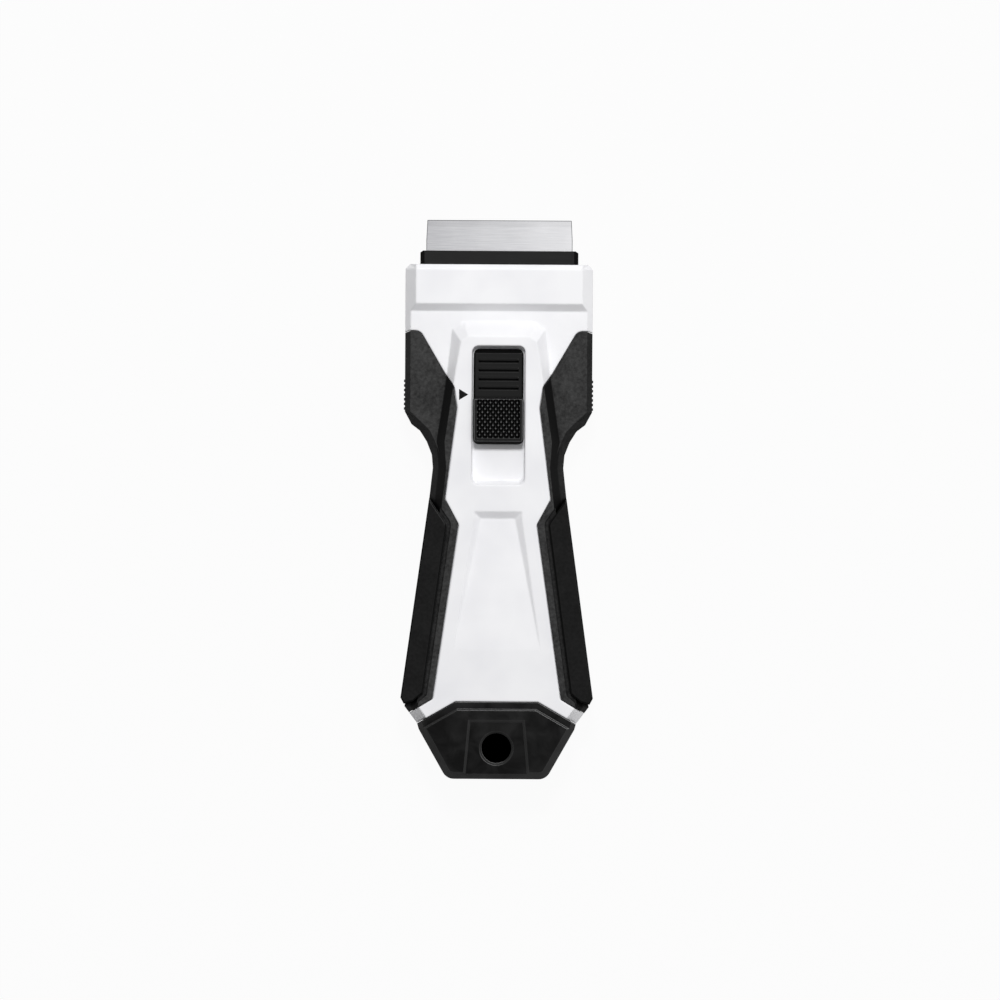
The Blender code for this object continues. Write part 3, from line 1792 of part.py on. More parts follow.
def knurl_cutter():
    """Cutter that leaves a field of pyramids, staggered by half their width from row to row."""
    across = 2 * knurl_across
    down = 2 * knurl_along
    shape = bmesh.new()
    bmesh.ops.create_grid(shape, x_segments=across, y_segments=down, size=0.5)
    peaks = []
    valleys = set()
    for vert in shape.verts:
        column = round((vert.co.x + 0.5) * across)
        row = round((vert.co.y + 0.5) * down)
        if (column + row) % 2:
            valleys.add(vert)
        else:
            peaks.append(vert)
    for face in list(shape.faces):
        bmesh.utils.face_split(face, *[vert for vert in face.verts if vert in valleys])
    bmesh.ops.scale(shape, vec=(knurl_width, knurl_length, 1.0), verts=shape.verts)
    walls = bmesh.ops.extrude_face_region(shape, geom=list(shape.faces))["geom"]
    lid = [item for item in walls if isinstance(item, bmesh.types.BMVert)]
    bmesh.ops.translate(shape, vec=(0.0, 0.0, knurl_height + overrun), verts=lid)
    bmesh.ops.translate(shape, vec=(0.0, 0.0, knurl_height), verts=peaks)
    bmesh.ops.recalc_face_normals(shape, faces=shape.faces)
    middle = along((knurl_high_station + knurl_low_station) / 2)
    floor = block_top - knurl_sink - knurl_height
    bmesh.ops.translate(shape, vec=(0.0, middle, floor), verts=shape.verts)
    mesh = bpy.data.meshes.new("knurl")
    shape.to_mesh(mesh)
    shape.free()
    return merged_flats(new_object("knurl", mesh, cutters))


def button_form(name, half, low, high, corners, bottom, top, collection):
    """Upright block with rounded corners, (low, high) radii, and a chamfered top edge."""
    outline = rounded(
        [
            (half, low, corners[0]),
            (half, high, corners[1]),
            (-half, high, corners[1]),
            (-half, low, corners[0]),
        ]
    )
    layers = [
        (outline, bottom),
        (outline, top - button_edge),
        (offset(outline, button_edge), top),
    ]
    return stack(name, layers, collection)


def end_slope(name, station, height, run, drop):
    """Cutter above a slope that falls to a station from a run before it. Run is signed."""
    past = overrun / abs(run)
    high = (along(station - run * (1 + past)), height + drop * past)
    low = (along(station + run * past), height - drop * (1 + past))
    corner = (low[0], high[1])
    return prism(name, [high, low, corner], -button_width, button_width, cutters, across="X")


def make_slider_button():
    """Thumb button: rounded plate with cross ribs and a knurled block, on a split stem."""
    plate_half = button_width / 2 - button_plate_inset
    button = button_form(
        "slider_button", plate_half, button_low_station + button_plate_inset,
        button_high_station, (button_corner, button_corner), button_underside, button_top, parts,
    )
    block = button_form(
        "knurl_block", button_width / 2, button_low_station, block_high_station,
        (button_corner, block_corner), button_underside + block_lift, block_top, cutters,
    )
    front = end_slope(
        "button_front_slope", button_high_station, button_top, button_front_run, button_front_drop
    )
    back = end_slope(
        "button_back_slope", button_low_station, block_top, -button_back_run, button_back_drop
    )
    join(button, block)
    for index in range(thumb_rib_count):
        start = along(button_high_station - thumb_rib_inset - index * thumb_rib_pitch)
        crest = button_top + thumb_rib_height
        outline = [
            (start, button_top - bite),
            (start + thumb_rib_width, button_top - bite),
            (start + thumb_rib_width, button_top),
            (start + thumb_rib_width * thumb_rib_crest_share, crest),
            (start, crest),
        ]
        half = thumb_rib_length / 2
        join(button, prism(f"thumb_rib_{index + 1}", outline, -half, half, cutters, across="X"))
    for index in range(thumb_rib_count):
        station = button_high_station - thumb_rib_inset - index * thumb_rib_pitch
        half = thumb_rib_length / 2 + thumb_groove_undercut
        groove = box(
            f"thumb_groove_{index + 1}",
            (-half, station - thumb_groove_width, button_top - thumb_groove_depth),
            (half, station + thumb_groove_undercut, button_top + overrun),
            cutters,
        )
        cut(button, groove)
    cut(button, front, back, knurl_cutter())
    stem_half = stem_width / 2
    stem = box(
        "stem",
        (-stem_half, stem_low, stem_bottom + barb_height / 2),
        (stem_half, stem_high, button_underside + bite),
        cutters,
    )
    barb = stack(
        "barb",
        [
            (barb_plan(stem_half - barb_lead), stem_bottom),
            (barb_plan(stem_half + barb_reach), stem_bottom + barb_height),
        ],
        cutters,
    )
    slit = box(
        "stem_slit",
        (-stem_slit / 2, stem_low - overrun, stem_bottom - overrun),
        (stem_slit / 2, stem_high + overrun, tower_top),
        cutters,
    )
    join(button, stem, barb)
    cut(button, slit)
    return dress(button, black_nylon())


def barb_plan(half):
    low = along(stem_low + barb_setback)
    high = along(stem_high - barb_setback)
    return [(half, low), (half, high), (-half, high), (-half, low)]


def axis_empty(name, place):
    """Empty on a joint's axis, that the pieces of one moving body hang from."""
    empty = bpy.data.objects.new(name, None)
    parts.objects.link(empty)
    empty.location = (place[0], along(place[1]), place[2])
    return empty


def hang(pieces, empty):
    bpy.context.view_layer.update()
    for piece in pieces:
        piece.parent = empty
        piece.matrix_parent_inverse = empty.matrix_world.inverted()


def build():
    global parts, cutters
    for obj in list(bpy.data.objects):
        bpy.data.objects.remove(obj)
    parts = new_collection("Scraper")
    cutters = new_collection("Cutters")
    slab_beyond_split(front=True)
    slab_beyond_split(front=False)
    mouth_cutter()
    tail_notch()
    make_front_shell()
    make_rear_shell()
    make_grip("front_grip_left", -1, rear=False)
    make_grip("front_grip_right", 1, rear=False)
    make_grip("rear_grip_left", -1, rear=True)
    make_grip("rear_grip_right", 1, rear=True)
    make_end_cap()
    make_mouth_guide()
    make_housing_screws()
    carried = [make_blade_carrier(), make_blade(), make_blade_spine(), make_blade_clamp()]
    carried += make_clamp_screws()
    carried += [make_latch_spring(), make_spring_rivet()]
    slide = axis_empty("blade_slide_axis", (0.0, carrier_front_station, blade_middle))
    hang(carried, slide)
    press = axis_empty("button_press_axis", (0.0, stem_station, button_underside))
    hang([make_slider_button()], press)
    hang([press], slide)


build()
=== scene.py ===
import math

import bmesh
import bpy
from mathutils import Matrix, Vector


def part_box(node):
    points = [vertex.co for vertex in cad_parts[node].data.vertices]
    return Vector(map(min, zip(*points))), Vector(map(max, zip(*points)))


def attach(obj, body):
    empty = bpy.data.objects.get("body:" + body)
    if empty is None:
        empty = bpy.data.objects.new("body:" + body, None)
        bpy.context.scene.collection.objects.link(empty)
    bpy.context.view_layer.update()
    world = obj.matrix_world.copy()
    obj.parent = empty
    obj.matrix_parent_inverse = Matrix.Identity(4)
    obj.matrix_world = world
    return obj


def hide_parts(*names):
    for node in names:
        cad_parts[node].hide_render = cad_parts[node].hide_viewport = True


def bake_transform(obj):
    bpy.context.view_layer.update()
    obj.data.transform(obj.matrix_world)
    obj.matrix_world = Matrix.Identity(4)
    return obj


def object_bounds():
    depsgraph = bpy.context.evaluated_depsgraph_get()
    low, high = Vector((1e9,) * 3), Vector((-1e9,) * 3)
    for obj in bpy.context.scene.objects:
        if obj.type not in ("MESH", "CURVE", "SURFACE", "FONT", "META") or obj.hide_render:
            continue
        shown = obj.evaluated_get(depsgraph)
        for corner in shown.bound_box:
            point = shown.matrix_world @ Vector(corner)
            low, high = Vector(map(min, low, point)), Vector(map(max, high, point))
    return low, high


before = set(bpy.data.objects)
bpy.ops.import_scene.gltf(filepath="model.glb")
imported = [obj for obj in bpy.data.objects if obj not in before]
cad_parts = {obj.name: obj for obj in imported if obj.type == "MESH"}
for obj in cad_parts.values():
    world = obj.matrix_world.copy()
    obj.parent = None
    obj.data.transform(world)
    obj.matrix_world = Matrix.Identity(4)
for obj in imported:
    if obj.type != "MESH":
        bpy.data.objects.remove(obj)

CAD_LOW, CAD_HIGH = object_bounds()

# Body shells. Two injection-moulded halves in white ABS, joined round the tool's middle plane.
# The mould is finely spark-eroded, so the plastic has a soft satin skin with a very fine grain
# and a faint change of tone where the melt met.

MM = 0.001
ABS_WHITE = "#F4F4F6"
ABS_SHADE = "#ECECEF"
ABS_FLOW_SIZE = 14 * MM
ABS_FLOW_RANGE = (0.3, 0.62)
ABS_GRAIN_SIZE = 0.22 * MM    # drawn coarser than the real tenth of a millimetre, or it isn't seen
ABS_GRAIN_DEPTH = 0.006 * MM
ABS_EDGE_RADIUS = 0.7 * MM
ABS_IOR = 1.53
ABS_GLOSS = 0.3
ABS_ROUGHNESS = (0.36, 0.5)
MOULDED_BUMP = 0.5
EDGE_SAMPLES = 8


def linear(code):
    """Linear colour, with alpha, from an sRGB hex code."""
    parts = [int(code[i:i + 2], 16) / 255 for i in (1, 3, 5)]
    bent = [c / 12.92 if c <= 0.04045 else ((c + 0.055) / 1.055) ** 2.4 for c in parts]
    return (*bent, 1.0)


def add(tree, kind, inputs=(), **settings):
    """Add a node with its settings, and give its outputs.

    Its inputs are values or other nodes' outputs, by name or in the order that the node has them.
    """
    node = tree.nodes.new(kind)
    for name, value in settings.items():
        setattr(node, name, value)
    if not isinstance(inputs, dict):
        inputs = dict(zip((i for i, socket in enumerate(node.inputs) if socket.enabled), inputs))
    for key, source in inputs.items():
        if isinstance(source, bpy.types.NodeSocket):
            tree.links.new(source, node.inputs[key])
        else:
            node.inputs[key].default_value = source
    return node.outputs


def new_finish(name):
    """New material: itself, its empty node tree and the place of the surface in metres."""
    made = bpy.data.materials.new(name)
    made.use_nodes = True
    made.node_tree.nodes.clear()
    return made, made.node_tree, add(made.node_tree, "ShaderNodeTexCoord")["Object"]


def close_finish(tree, look):
    """End a material with the shader that its look, a set of inputs, goes to."""
    shader = add(tree, "ShaderNodeBsdfPrincipled", look)["BSDF"]
    add(tree, "ShaderNodeOutputMaterial", {"Surface": shader})


def coat(names, finish):
    """Put one finish on CAD nodes."""
    for name in names:
        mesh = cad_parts[name].data
        mesh.materials.clear()
        mesh.materials.append(finish)


def spark_eroded_white_abs():
    """White ABS from an eroded mould: satin, with a fine grain, and edges that read as soft."""
    made, tree, place = new_finish("spark_eroded_white_abs")
    flow = add(tree, "ShaderNodeTexNoise", {"Vector": place, "Scale": 1 / ABS_FLOW_SIZE,
                                            "Detail": 2.0})["Fac"]
    met = add(tree, "ShaderNodeMapRange", (flow, *ABS_FLOW_RANGE))["Result"]
    tone = add(tree, "ShaderNodeMix", (met, linear(ABS_SHADE), linear(ABS_WHITE)),
               data_type="RGBA")["Result"]
    grain = add(tree, "ShaderNodeTexNoise", {"Vector": place, "Scale": 1 / ABS_GRAIN_SIZE,
                                             "Detail": 3.0})["Fac"]
    satin = add(tree, "ShaderNodeMapRange", (grain, 0.0, 1.0, *ABS_ROUGHNESS))["Result"]
    soft = add(tree, "ShaderNodeBevel", {"Radius": ABS_EDGE_RADIUS}, samples=EDGE_SAMPLES)["Normal"]
    bump = add(tree, "ShaderNodeBump", {"Strength": MOULDED_BUMP, "Distance": ABS_GRAIN_DEPTH,
                                        "Height": grain, "Normal": soft})["Normal"]
    close_finish(tree, {"Base Color": tone, "Roughness": satin, "IOR": ABS_IOR,
                        "Specular IOR Level": ABS_GLOSS, "Normal": bump})
    return made


coat(["front_shell", "rear_shell"], spark_eroded_white_abs())

# Grips. Black TPE over-moulded into pockets in both shells; it wraps the wings, the neck and the
# handle. Faces that look up get a painted grey sheen, low outer sides part of it, slopes and grooves
# painted shade. The pads are smoother and darker, and edges that look to the lamp get a painted
# highlight.

TPE_SHEEN_GREY = "#393939"
TPE_SHEEN_GREY_LOW = "#111111"
TPE_PAD = "#161616"
TPE_PAD_LOW = "#070707"
TPE_SLOPE_SHADE = "#101010"
TPE_EDGE_HIGHLIGHT = "#666666"
TPE_GRAIN_SIZE = 0.8 * MM    # drawn coarser than the real quarter millimetre, or it isn't seen
TPE_GRAIN_DEPTH = 0.05 * MM
TPE_CLOUD_SIZE = 6 * MM
TPE_CLOUD_SHARE = 0.5
TPE_TONE_RANGE = (0.55, 0.95)
TPE_EDGE_RADIUS = 0.35 * MM
TPE_IOR = 1.5
TPE_GLOSS = (0.06, 0.26)    # of the slopes, and of the faces that look up and the low outer sides
PAD_GLOSS_SHARE = 0.3
TPE_ROUGHNESS = 0.78
PAD_ROUGHNESS = 0.6
OFF_PAD_EDGE_SHARE = 0.15    # how much of its painted highlight an edge keeps off the pads
OUTER_SHARE = 0.35
PAD_RISE = (17.3 * MM, 17.6 * MM)
FLANK_RISE = (14.0 * MM, 14.4 * MM)
GROOVE_REACH = 1.2 * MM

LEVEL_RANGE = (0.8, 0.97)
OPEN_RANGE = (0.35, 0.95)
FLAT_RANGE = (0.998, 0.95)
LIT_WAY = (0.5, 0.85, 0.0)
LIT_RANGE = (0.25, 0.6)
LIT_SHARE = (0.05, 1.0)
EDGE_GLOSS = 0.5
EDGE_POLISH = 0.1
GAP_SHADE = 0.15


def facing_up(tree):
    """1 on faces that look up, 0 on slopes; it masks sheen and shade painted by which way a face looks.
    """
    turned = add(tree, "ShaderNodeTexCoord")["Normal"]
    height = add(tree, "ShaderNodeSeparateXYZ", {"Vector": turned})["Z"]
    return add(tree, "ShaderNodeMapRange", (height, *LEVEL_RANGE))["Result"]


def openness(tree, reach):
    """1 on open faces, falling to 0 in grooves and corners narrower than a reach."""
    seen = add(tree, "ShaderNodeAmbientOcclusion", {"Distance": reach}, samples=EDGE_SAMPLES)["AO"]
    return add(tree, "ShaderNodeMapRange", (seen, *OPEN_RANGE))["Result"]


def rounded_edge(tree, radius):
    """The normal with its edges rounded, and how far a point is on an edge that the lamp lights."""
    true = add(tree, "ShaderNodeNewGeometry")["Normal"]
    soft = add(tree, "ShaderNodeBevel", {"Radius": radius}, samples=EDGE_SAMPLES)["Normal"]
    same = add(tree, "ShaderNodeVectorMath", (true, soft), operation="DOT_PRODUCT")["Value"]
    turn = add(tree, "ShaderNodeMapRange", (same, *FLAT_RANGE))["Result"]
    toward = add(tree, "ShaderNodeVectorMath", (soft, LIT_WAY), operation="DOT_PRODUCT")["Value"]
    lit = add(tree, "ShaderNodeMapRange", (toward, *LIT_RANGE, *LIT_SHARE))["Result"]
    return soft, add(tree, "ShaderNodeMath", (turn, lit), operation="MULTIPLY")["Value"]


def close_black_skin(tree, ior, colour, gloss, rough, grain, depth, highlight, gap):
    """End a plastic or rubber skin with a painted grey highlight on its edges and painted shade in its
    gaps.

    Highlight holds the softened normal, the share of painted edge highlight, and its colour.
    """
    soft, edge, edge_colour = highlight
    # Edges are painted grey as a painted highlight, then grooves and corners are darkened as painted
    # shade.
    painted_highlight = add(tree, "ShaderNodeMix", (edge, colour, linear(edge_colour)),
                 data_type="RGBA")["Result"]
    shade = add(tree, "ShaderNodeMapRange", (gap, 0.0, 1.0, GAP_SHADE, 1.0))["Result"]
    gap_shaded_colour = add(tree, "ShaderNodeVectorMath", (painted_highlight, shade), operation="SCALE")["Vector"]
    shine = add(tree, "ShaderNodeMath", (edge, EDGE_GLOSS), operation="MULTIPLY")["Value"]
    level = add(tree, "ShaderNodeMath", (gloss, shine), operation="MAXIMUM")["Value"]
    hidden = add(tree, "ShaderNodeMath", (level, gap), operation="MULTIPLY")["Value"]
    polish = add(tree, "ShaderNodeMath", (edge, -EDGE_POLISH, rough), operation="MULTIPLY_ADD")["Value"]
    bump = add(tree, "ShaderNodeBump", {"Strength": MOULDED_BUMP, "Distance": depth,
                                        "Height": grain, "Normal": soft})["Normal"]
    close_finish(tree, {"Base Color": gap_shaded_colour, "Roughness": polish, "IOR": ior,
                        "Specular IOR Level": hidden, "Normal": bump})


def black_tpe_painted_sheen():
    """Black TPE: matt rubber, grained like fine leather, with a painted grey sheen on faces that look
    up, smoother and darker on the pads.
    """
    made, tree, place = new_finish("black_tpe_painted_sheen")
    height = add(tree, "ShaderNodeSeparateXYZ", {"Vector": place})["Z"]
    pad = add(tree, "ShaderNodeMapRange", (height, *PAD_RISE))["Result"]
    outer = add(tree, "ShaderNodeMapRange", (height, *FLANK_RISE, OUTER_SHARE, 0.0))["Result"]
    # Painted sheen: faces that look up are drawn lighter, low outer sides a third of the way; slopes
    # keep a darker painted shade.
    lighter_share = add(tree, "ShaderNodeMath", (facing_up(tree), outer), operation="MAXIMUM")["Value"]
    grain = add(tree, "ShaderNodeTexNoise", {"Vector": place, "Scale": 1 / TPE_GRAIN_SIZE,
                                             "Detail": 4.0, "Roughness": 0.65})["Fac"]
    cloud = add(tree, "ShaderNodeTexNoise", {"Vector": place, "Scale": 1 / TPE_CLOUD_SIZE,
                                             "Detail": 3.0})["Fac"]
    mixed = add(tree, "ShaderNodeMath", (cloud, TPE_CLOUD_SHARE, grain),
                operation="MULTIPLY_ADD")["Value"]
    share = add(tree, "ShaderNodeMapRange", (mixed, *TPE_TONE_RANGE))["Result"]
    facet = add(tree, "ShaderNodeMix", (share, linear(TPE_SHEEN_GREY_LOW), linear(TPE_SHEEN_GREY)),
                data_type="RGBA")["Result"]
    smooth = add(tree, "ShaderNodeMix", (share, linear(TPE_PAD_LOW), linear(TPE_PAD)),
                 data_type="RGBA")["Result"]
    top = add(tree, "ShaderNodeMix", (pad, facet, smooth), data_type="RGBA")["Result"]
    colour = add(tree, "ShaderNodeMix", (lighter_share, linear(TPE_SLOPE_SHADE), top), data_type="RGBA")["Result"]
    grey_gloss = add(tree, "ShaderNodeMapRange", (lighter_share, 0.0, 1.0, *TPE_GLOSS))["Result"]
    pad_gloss = add(tree, "ShaderNodeMapRange", (pad, 0.0, 1.0, 1.0, PAD_GLOSS_SHARE))["Result"]
    gloss = add(tree, "ShaderNodeMath", (grey_gloss, pad_gloss), operation="MULTIPLY")["Value"]
    rough = add(tree, "ShaderNodeMapRange", (pad, 0.0, 1.0, TPE_ROUGHNESS, PAD_ROUGHNESS))["Result"]
    # Edges that look to the lamp get a painted highlight, kept weaker off the pads.
    soft, edge = rounded_edge(tree, TPE_EDGE_RADIUS)
    painted_highlight = add(tree, "ShaderNodeMapRange", (pad, 0.0, 1.0, OFF_PAD_EDGE_SHARE, 1.0))["Result"]
    highlight_share = add(tree, "ShaderNodeMath", (edge, painted_highlight), operation="MULTIPLY")["Value"]
    close_black_skin(tree, TPE_IOR, colour, gloss, rough, grain, TPE_GRAIN_DEPTH,
                     (soft, highlight_share, TPE_EDGE_HIGHLIGHT), openness(tree, GROOVE_REACH))
    return made


coat(["front_grip_left", "front_grip_right", "rear_grip_left", "rear_grip_right"],
     black_tpe_painted_sheen())

# End cap. One piece of black nylon pushed over the tail of both shells, with the hanging hole
# bored through it. Its faces are nearly black; its bevelled sides and the walls of its sunken panel
# are painted grey as a painted reflection, its edges get a painted highlight and its corners painted
# shade.

NYLON_BLACK = "#070707"
NYLON_GREY = "#0F0F0F"
NYLON_SLOPE_SHEEN = "#2C2C2C"
NYLON_EDGE_HIGHLIGHT = "#A0A0A0"
NYLON_FLOW_SIZE = 5 * MM
NYLON_FLOW_RANGE = (0.35, 0.7)
NYLON_GRAIN_SIZE = 0.3 * MM
NYLON_GRAIN_DEPTH = 0.01 * MM
NYLON_EDGE_RADIUS = 0.3 * MM
NYLON_IOR = 1.53
NYLON_GLOSS = (0.05, 0.12)
NYLON_ROUGHNESS = (0.34, 0.46)
CORNER_REACH = 0.8 * MM


def moulded_black_nylon():
    """Black nylon 6: satin, with flow mottling a few millimetres across and a painted grey reflection
    on its slopes.
    """
    made, tree, place = new_finish("moulded_black_nylon")
    flow = add(tree, "ShaderNodeTexNoise", {"Vector": place, "Scale": 1 / NYLON_FLOW_SIZE,
                                            "Detail": 4.0, "Distortion": 0.6})["Fac"]
    grain = add(tree, "ShaderNodeTexNoise", {"Vector": place, "Scale": 1 / NYLON_GRAIN_SIZE,
                                             "Detail": 2.0})["Fac"]
    share = add(tree, "ShaderNodeMapRange", (flow, *NYLON_FLOW_RANGE))["Result"]
    face = add(tree, "ShaderNodeMix", (share, linear(NYLON_BLACK), linear(NYLON_GREY)),
               data_type="RGBA")["Result"]
    # Painted reflection: slopes are drawn grey, and faces that look up stay nearly black.
    colour = add(tree, "ShaderNodeMix", (facing_up(tree), linear(NYLON_SLOPE_SHEEN), face),
                 data_type="RGBA")["Result"]
    gloss = add(tree, "ShaderNodeMapRange", (flow, *NYLON_FLOW_RANGE, *NYLON_GLOSS))["Result"]
    rough = add(tree, "ShaderNodeMapRange", (grain, 0.0, 1.0, *NYLON_ROUGHNESS))["Result"]
    close_black_skin(tree, NYLON_IOR, colour, gloss, rough, grain, NYLON_GRAIN_DEPTH,
                     (*rounded_edge(tree, NYLON_EDGE_RADIUS), NYLON_EDGE_HIGHLIGHT),
                     openness(tree, CORNER_REACH))
    return made


coat(["end_cap"], moulded_black_nylon())

# Mouth guide and blade carrier. Black nylon with a slippery filler: the guide is the bar in the
# nose that the blade runs through, the carrier slides inside the body. Their mould is milled and
# not eroded, so it leaves fine cutter marks; their sloping ends are painted darker, as painted shade.

GUIDE_GREY = "#191919"
GUIDE_DARK = "#0F0F0F"
GUIDE_END_SHADE = "#030303"
GUIDE_GLOSS = (0.02, 0.1)    # of the sloping ends, and of the faces
MILLING_PITCH = 0.35 * MM
MILLING_DEPTH = 0.006 * MM
MILLING_STRETCH = 0.06
LINE_BUMP = 0.4


def milled_mould_nylon():
    """Filled black nylon: low gloss, with milling marks along X, a third of a millimetre apart."""
    made, tree, place = new_finish("milled_mould_nylon")
    drawn = add(tree, "ShaderNodeMapping", {"Vector": place,
                                            "Scale": (MILLING_STRETCH, 1.0, 1.0)})["Vector"]
    marks = add(tree, "ShaderNodeTexNoise", {"Vector": drawn, "Scale": 1 / MILLING_PITCH,
                                             "Detail": 2.0})["Fac"]
    up = facing_up(tree)
    face = add(tree, "ShaderNodeMix", (marks, linear(GUIDE_DARK), linear(GUIDE_GREY)),
               data_type="RGBA")["Result"]
    # Painted shade: sloping ends are drawn nearly black.
    colour = add(tree, "ShaderNodeMix", (up, linear(GUIDE_END_SHADE), face), data_type="RGBA")["Result"]
    gloss = add(tree, "ShaderNodeMapRange", (up, 0.0, 1.0, *GUIDE_GLOSS))["Result"]
    rough = add(tree, "ShaderNodeMapRange", (marks, 0.0, 1.0, *NYLON_ROUGHNESS))["Result"]
    bump = add(tree, "ShaderNodeBump", {"Strength": LINE_BUMP, "Distance": MILLING_DEPTH,
                                        "Height": marks})["Normal"]
    close_finish(tree, {"Base Color": colour, "Roughness": rough, "IOR": NYLON_IOR,
                        "Specular IOR Level": gloss, "Normal": bump})
    return made


coat(["mouth_guide", "blade_carrier"], milled_mould_nylon())

# Blade and its folded spine. Hardened carbon-steel strip, drawn over an abrasive belt, so fine
# lines run from side to side. Towards the left it is painted darker, a painted reflection. Its
# outermost two tenths of a millimetre are honed, and drawn as a thin dark outline of painted shade.

BLADE_DARK_SIDE = "#AEAEB1"
BLADE_LIGHT_SIDE = "#E2E2E4"
BLADE_EDGE_SHADE = "#58585B"
SPINE_DARK = "#B4B4B7"
SPINE_LIGHT = "#CDCDD0"
BLADE_LINE_SIZE = 0.25 * MM    # drawn coarser than the real few hundredths, or they aren't seen
BLADE_LINE_DEPTH = 0.0008 * MM
BLADE_LINE_STRETCH = 0.03
BLADE_CLOUD_SIZE = 7 * MM
BLADE_CLOUD_SHARE = 0.5
BLADE_TONE_RANGE = (0.45, 1.05)
LEFT_DARKENING_SHARE = 0.65
HONED_WIDTH = 0.2 * MM
GROUND_WIDTH = 1.7 * MM
GROUND_START = 0.9 * GROUND_WIDTH
BLADE_TAPER = 0.25 * MM
BLADE_KINK = 5.1 * MM
BLADE_ROUGHNESS = (0.1, 0.2)    # in the ground band, and behind it
STRIP_ROUGHNESS = (0.16, 0.24)


def belt_ground(tree, place, dark, light, line_size, across=None):
    """Colour, lines and normal of steel ground along X, lighter by the share across, if given, as a
    painted reflection.
    """
    drawn = add(tree, "ShaderNodeMapping", {"Vector": place,
                                            "Scale": (BLADE_LINE_STRETCH, 1.0, 1.0)})["Vector"]
    lines = add(tree, "ShaderNodeTexNoise", {"Vector": drawn, "Scale": 1 / line_size,
                                             "Detail": 4.0})["Fac"]
    cloud = add(tree, "ShaderNodeTexNoise", {"Vector": place, "Scale": 1 / BLADE_CLOUD_SIZE,
                                             "Detail": 4.0})["Fac"]
    mixed = add(tree, "ShaderNodeMath", (cloud, BLADE_CLOUD_SHARE, lines),
                operation="MULTIPLY_ADD")["Value"]
    tone = add(tree, "ShaderNodeMapRange", (mixed, *BLADE_TONE_RANGE))["Result"]
    if across is not None:
        rest = add(tree, "ShaderNodeMath", (tone, 1 - LEFT_DARKENING_SHARE), operation="MULTIPLY")["Value"]
        tone = add(tree, "ShaderNodeMath", (across, LEFT_DARKENING_SHARE, rest),
                   operation="MULTIPLY_ADD")["Value"]
    colour = add(tree, "ShaderNodeMix", (tone, linear(dark), linear(light)),
                 data_type="RGBA")["Result"]
    bump = add(tree, "ShaderNodeBump", {"Strength": LINE_BUMP, "Distance": BLADE_LINE_DEPTH,
                                        "Height": lines})["Normal"]
    return colour, lines, bump


def blade_steel_painted_edge_shade():
    """Blade steel with a painted dark outline along the honed cutting edge and the tapering sides,
    painted darker towards the left.
    """
    made, tree, place = new_finish("blade_steel_painted_edge_shade")
    low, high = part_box("blade")
    axes = add(tree, "ShaderNodeSeparateXYZ", {"Vector": place})
    across = add(tree, "ShaderNodeMapRange", (axes["X"], low.x, high.x))["Result"]
    ground, _, bump = belt_ground(tree, place, BLADE_DARK_SIDE, BLADE_LIGHT_SIDE, BLADE_LINE_SIZE, across)
    behind = add(tree, "ShaderNodeMath", (high.y, axes["Y"]), operation="SUBTRACT")["Value"]
    side = add(tree, "ShaderNodeMapRange", (behind, 0.0, BLADE_KINK, high.x - BLADE_TAPER,
                                            high.x))["Result"]
    aside = add(tree, "ShaderNodeMath", (axes["X"],), operation="ABSOLUTE")["Value"]
    inward = add(tree, "ShaderNodeMath", (side, aside), operation="SUBTRACT")["Value"]
    nearest = add(tree, "ShaderNodeMath", (behind, inward), operation="MINIMUM")["Value"]
    edge_shade = add(tree, "ShaderNodeMapRange", (nearest, HONED_WIDTH / 2, HONED_WIDTH, 1.0,
                                             0.0))["Result"]
    # Painted shade: the honed outline is drawn dark grey.
    colour = add(tree, "ShaderNodeMix", (edge_shade, ground, linear(BLADE_EDGE_SHADE)),
                 data_type="RGBA")["Result"]
    rough = add(tree, "ShaderNodeMapRange", (behind, GROUND_START, GROUND_WIDTH,
                                             *BLADE_ROUGHNESS))["Result"]
    close_finish(tree, {"Base Color": colour, "Metallic": 1.0, "Roughness": rough, "Normal": bump})
    return made


def belt_ground_steel(name, dark, light, line_size):
    """Ground or rolled steel strip without a honed edge."""
    made, tree, place = new_finish(name)
    colour, lines, bump = belt_ground(tree, place, dark, light, line_size)
    rough = add(tree, "ShaderNodeMapRange", (lines, 0.0, 1.0, *STRIP_ROUGHNESS))["Result"]
    close_finish(tree, {"Base Color": colour, "Metallic": 1.0, "Roughness": rough, "Normal": bump})
    return made


coat(["blade"], blade_steel_painted_edge_shade())
coat(["blade_spine"], belt_ground_steel("belt_ground_spine_steel", SPINE_DARK, SPINE_LIGHT,
                                        BLADE_LINE_SIZE))

# Clamp plate and latch spring. Stamped from cold-rolled spring steel, darker and bluer than the
# blade, with long rolling lines. The spring is a leaf riveted to the carrier at its low end, and
# the button's stem bends its high end down, out of the notches in the shell.

SPRING_DARK = "#7E8186"
SPRING_LIGHT = "#97999E"
SPRING_LINE_SIZE = 0.3 * MM
LEAF_LOW, LEAF_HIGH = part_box("latch_spring")
LEAF_THICKNESS = 0.4 * MM
LEAF_RISE = 2.0 * MM
LEAF_HELD = LEAF_LOW.y + 3.6 * MM
LEAF_BEND = LEAF_LOW.y + 5.0 * MM
LEAF_CREST = LEAF_LOW.y + 9.3 * MM
LEAF_PUSHED = LEAF_LOW.y + 11.5 * MM
LEAF_RUNS = ((LEAF_LOW.y, LEAF_HELD, 2), (LEAF_HELD, LEAF_BEND, 4), (LEAF_BEND, LEAF_CREST, 10),
             (LEAF_CREST, LEAF_PUSHED, 5), (LEAF_PUSHED, LEAF_HIGH.y, 2))
TOOTH_WIDTH = 0.8 * MM
TOOTH_LENGTH = 2.2 * MM
TOOTH_ASIDE = 4.7 * MM
TOOTH_SETBACK = 1.7 * MM


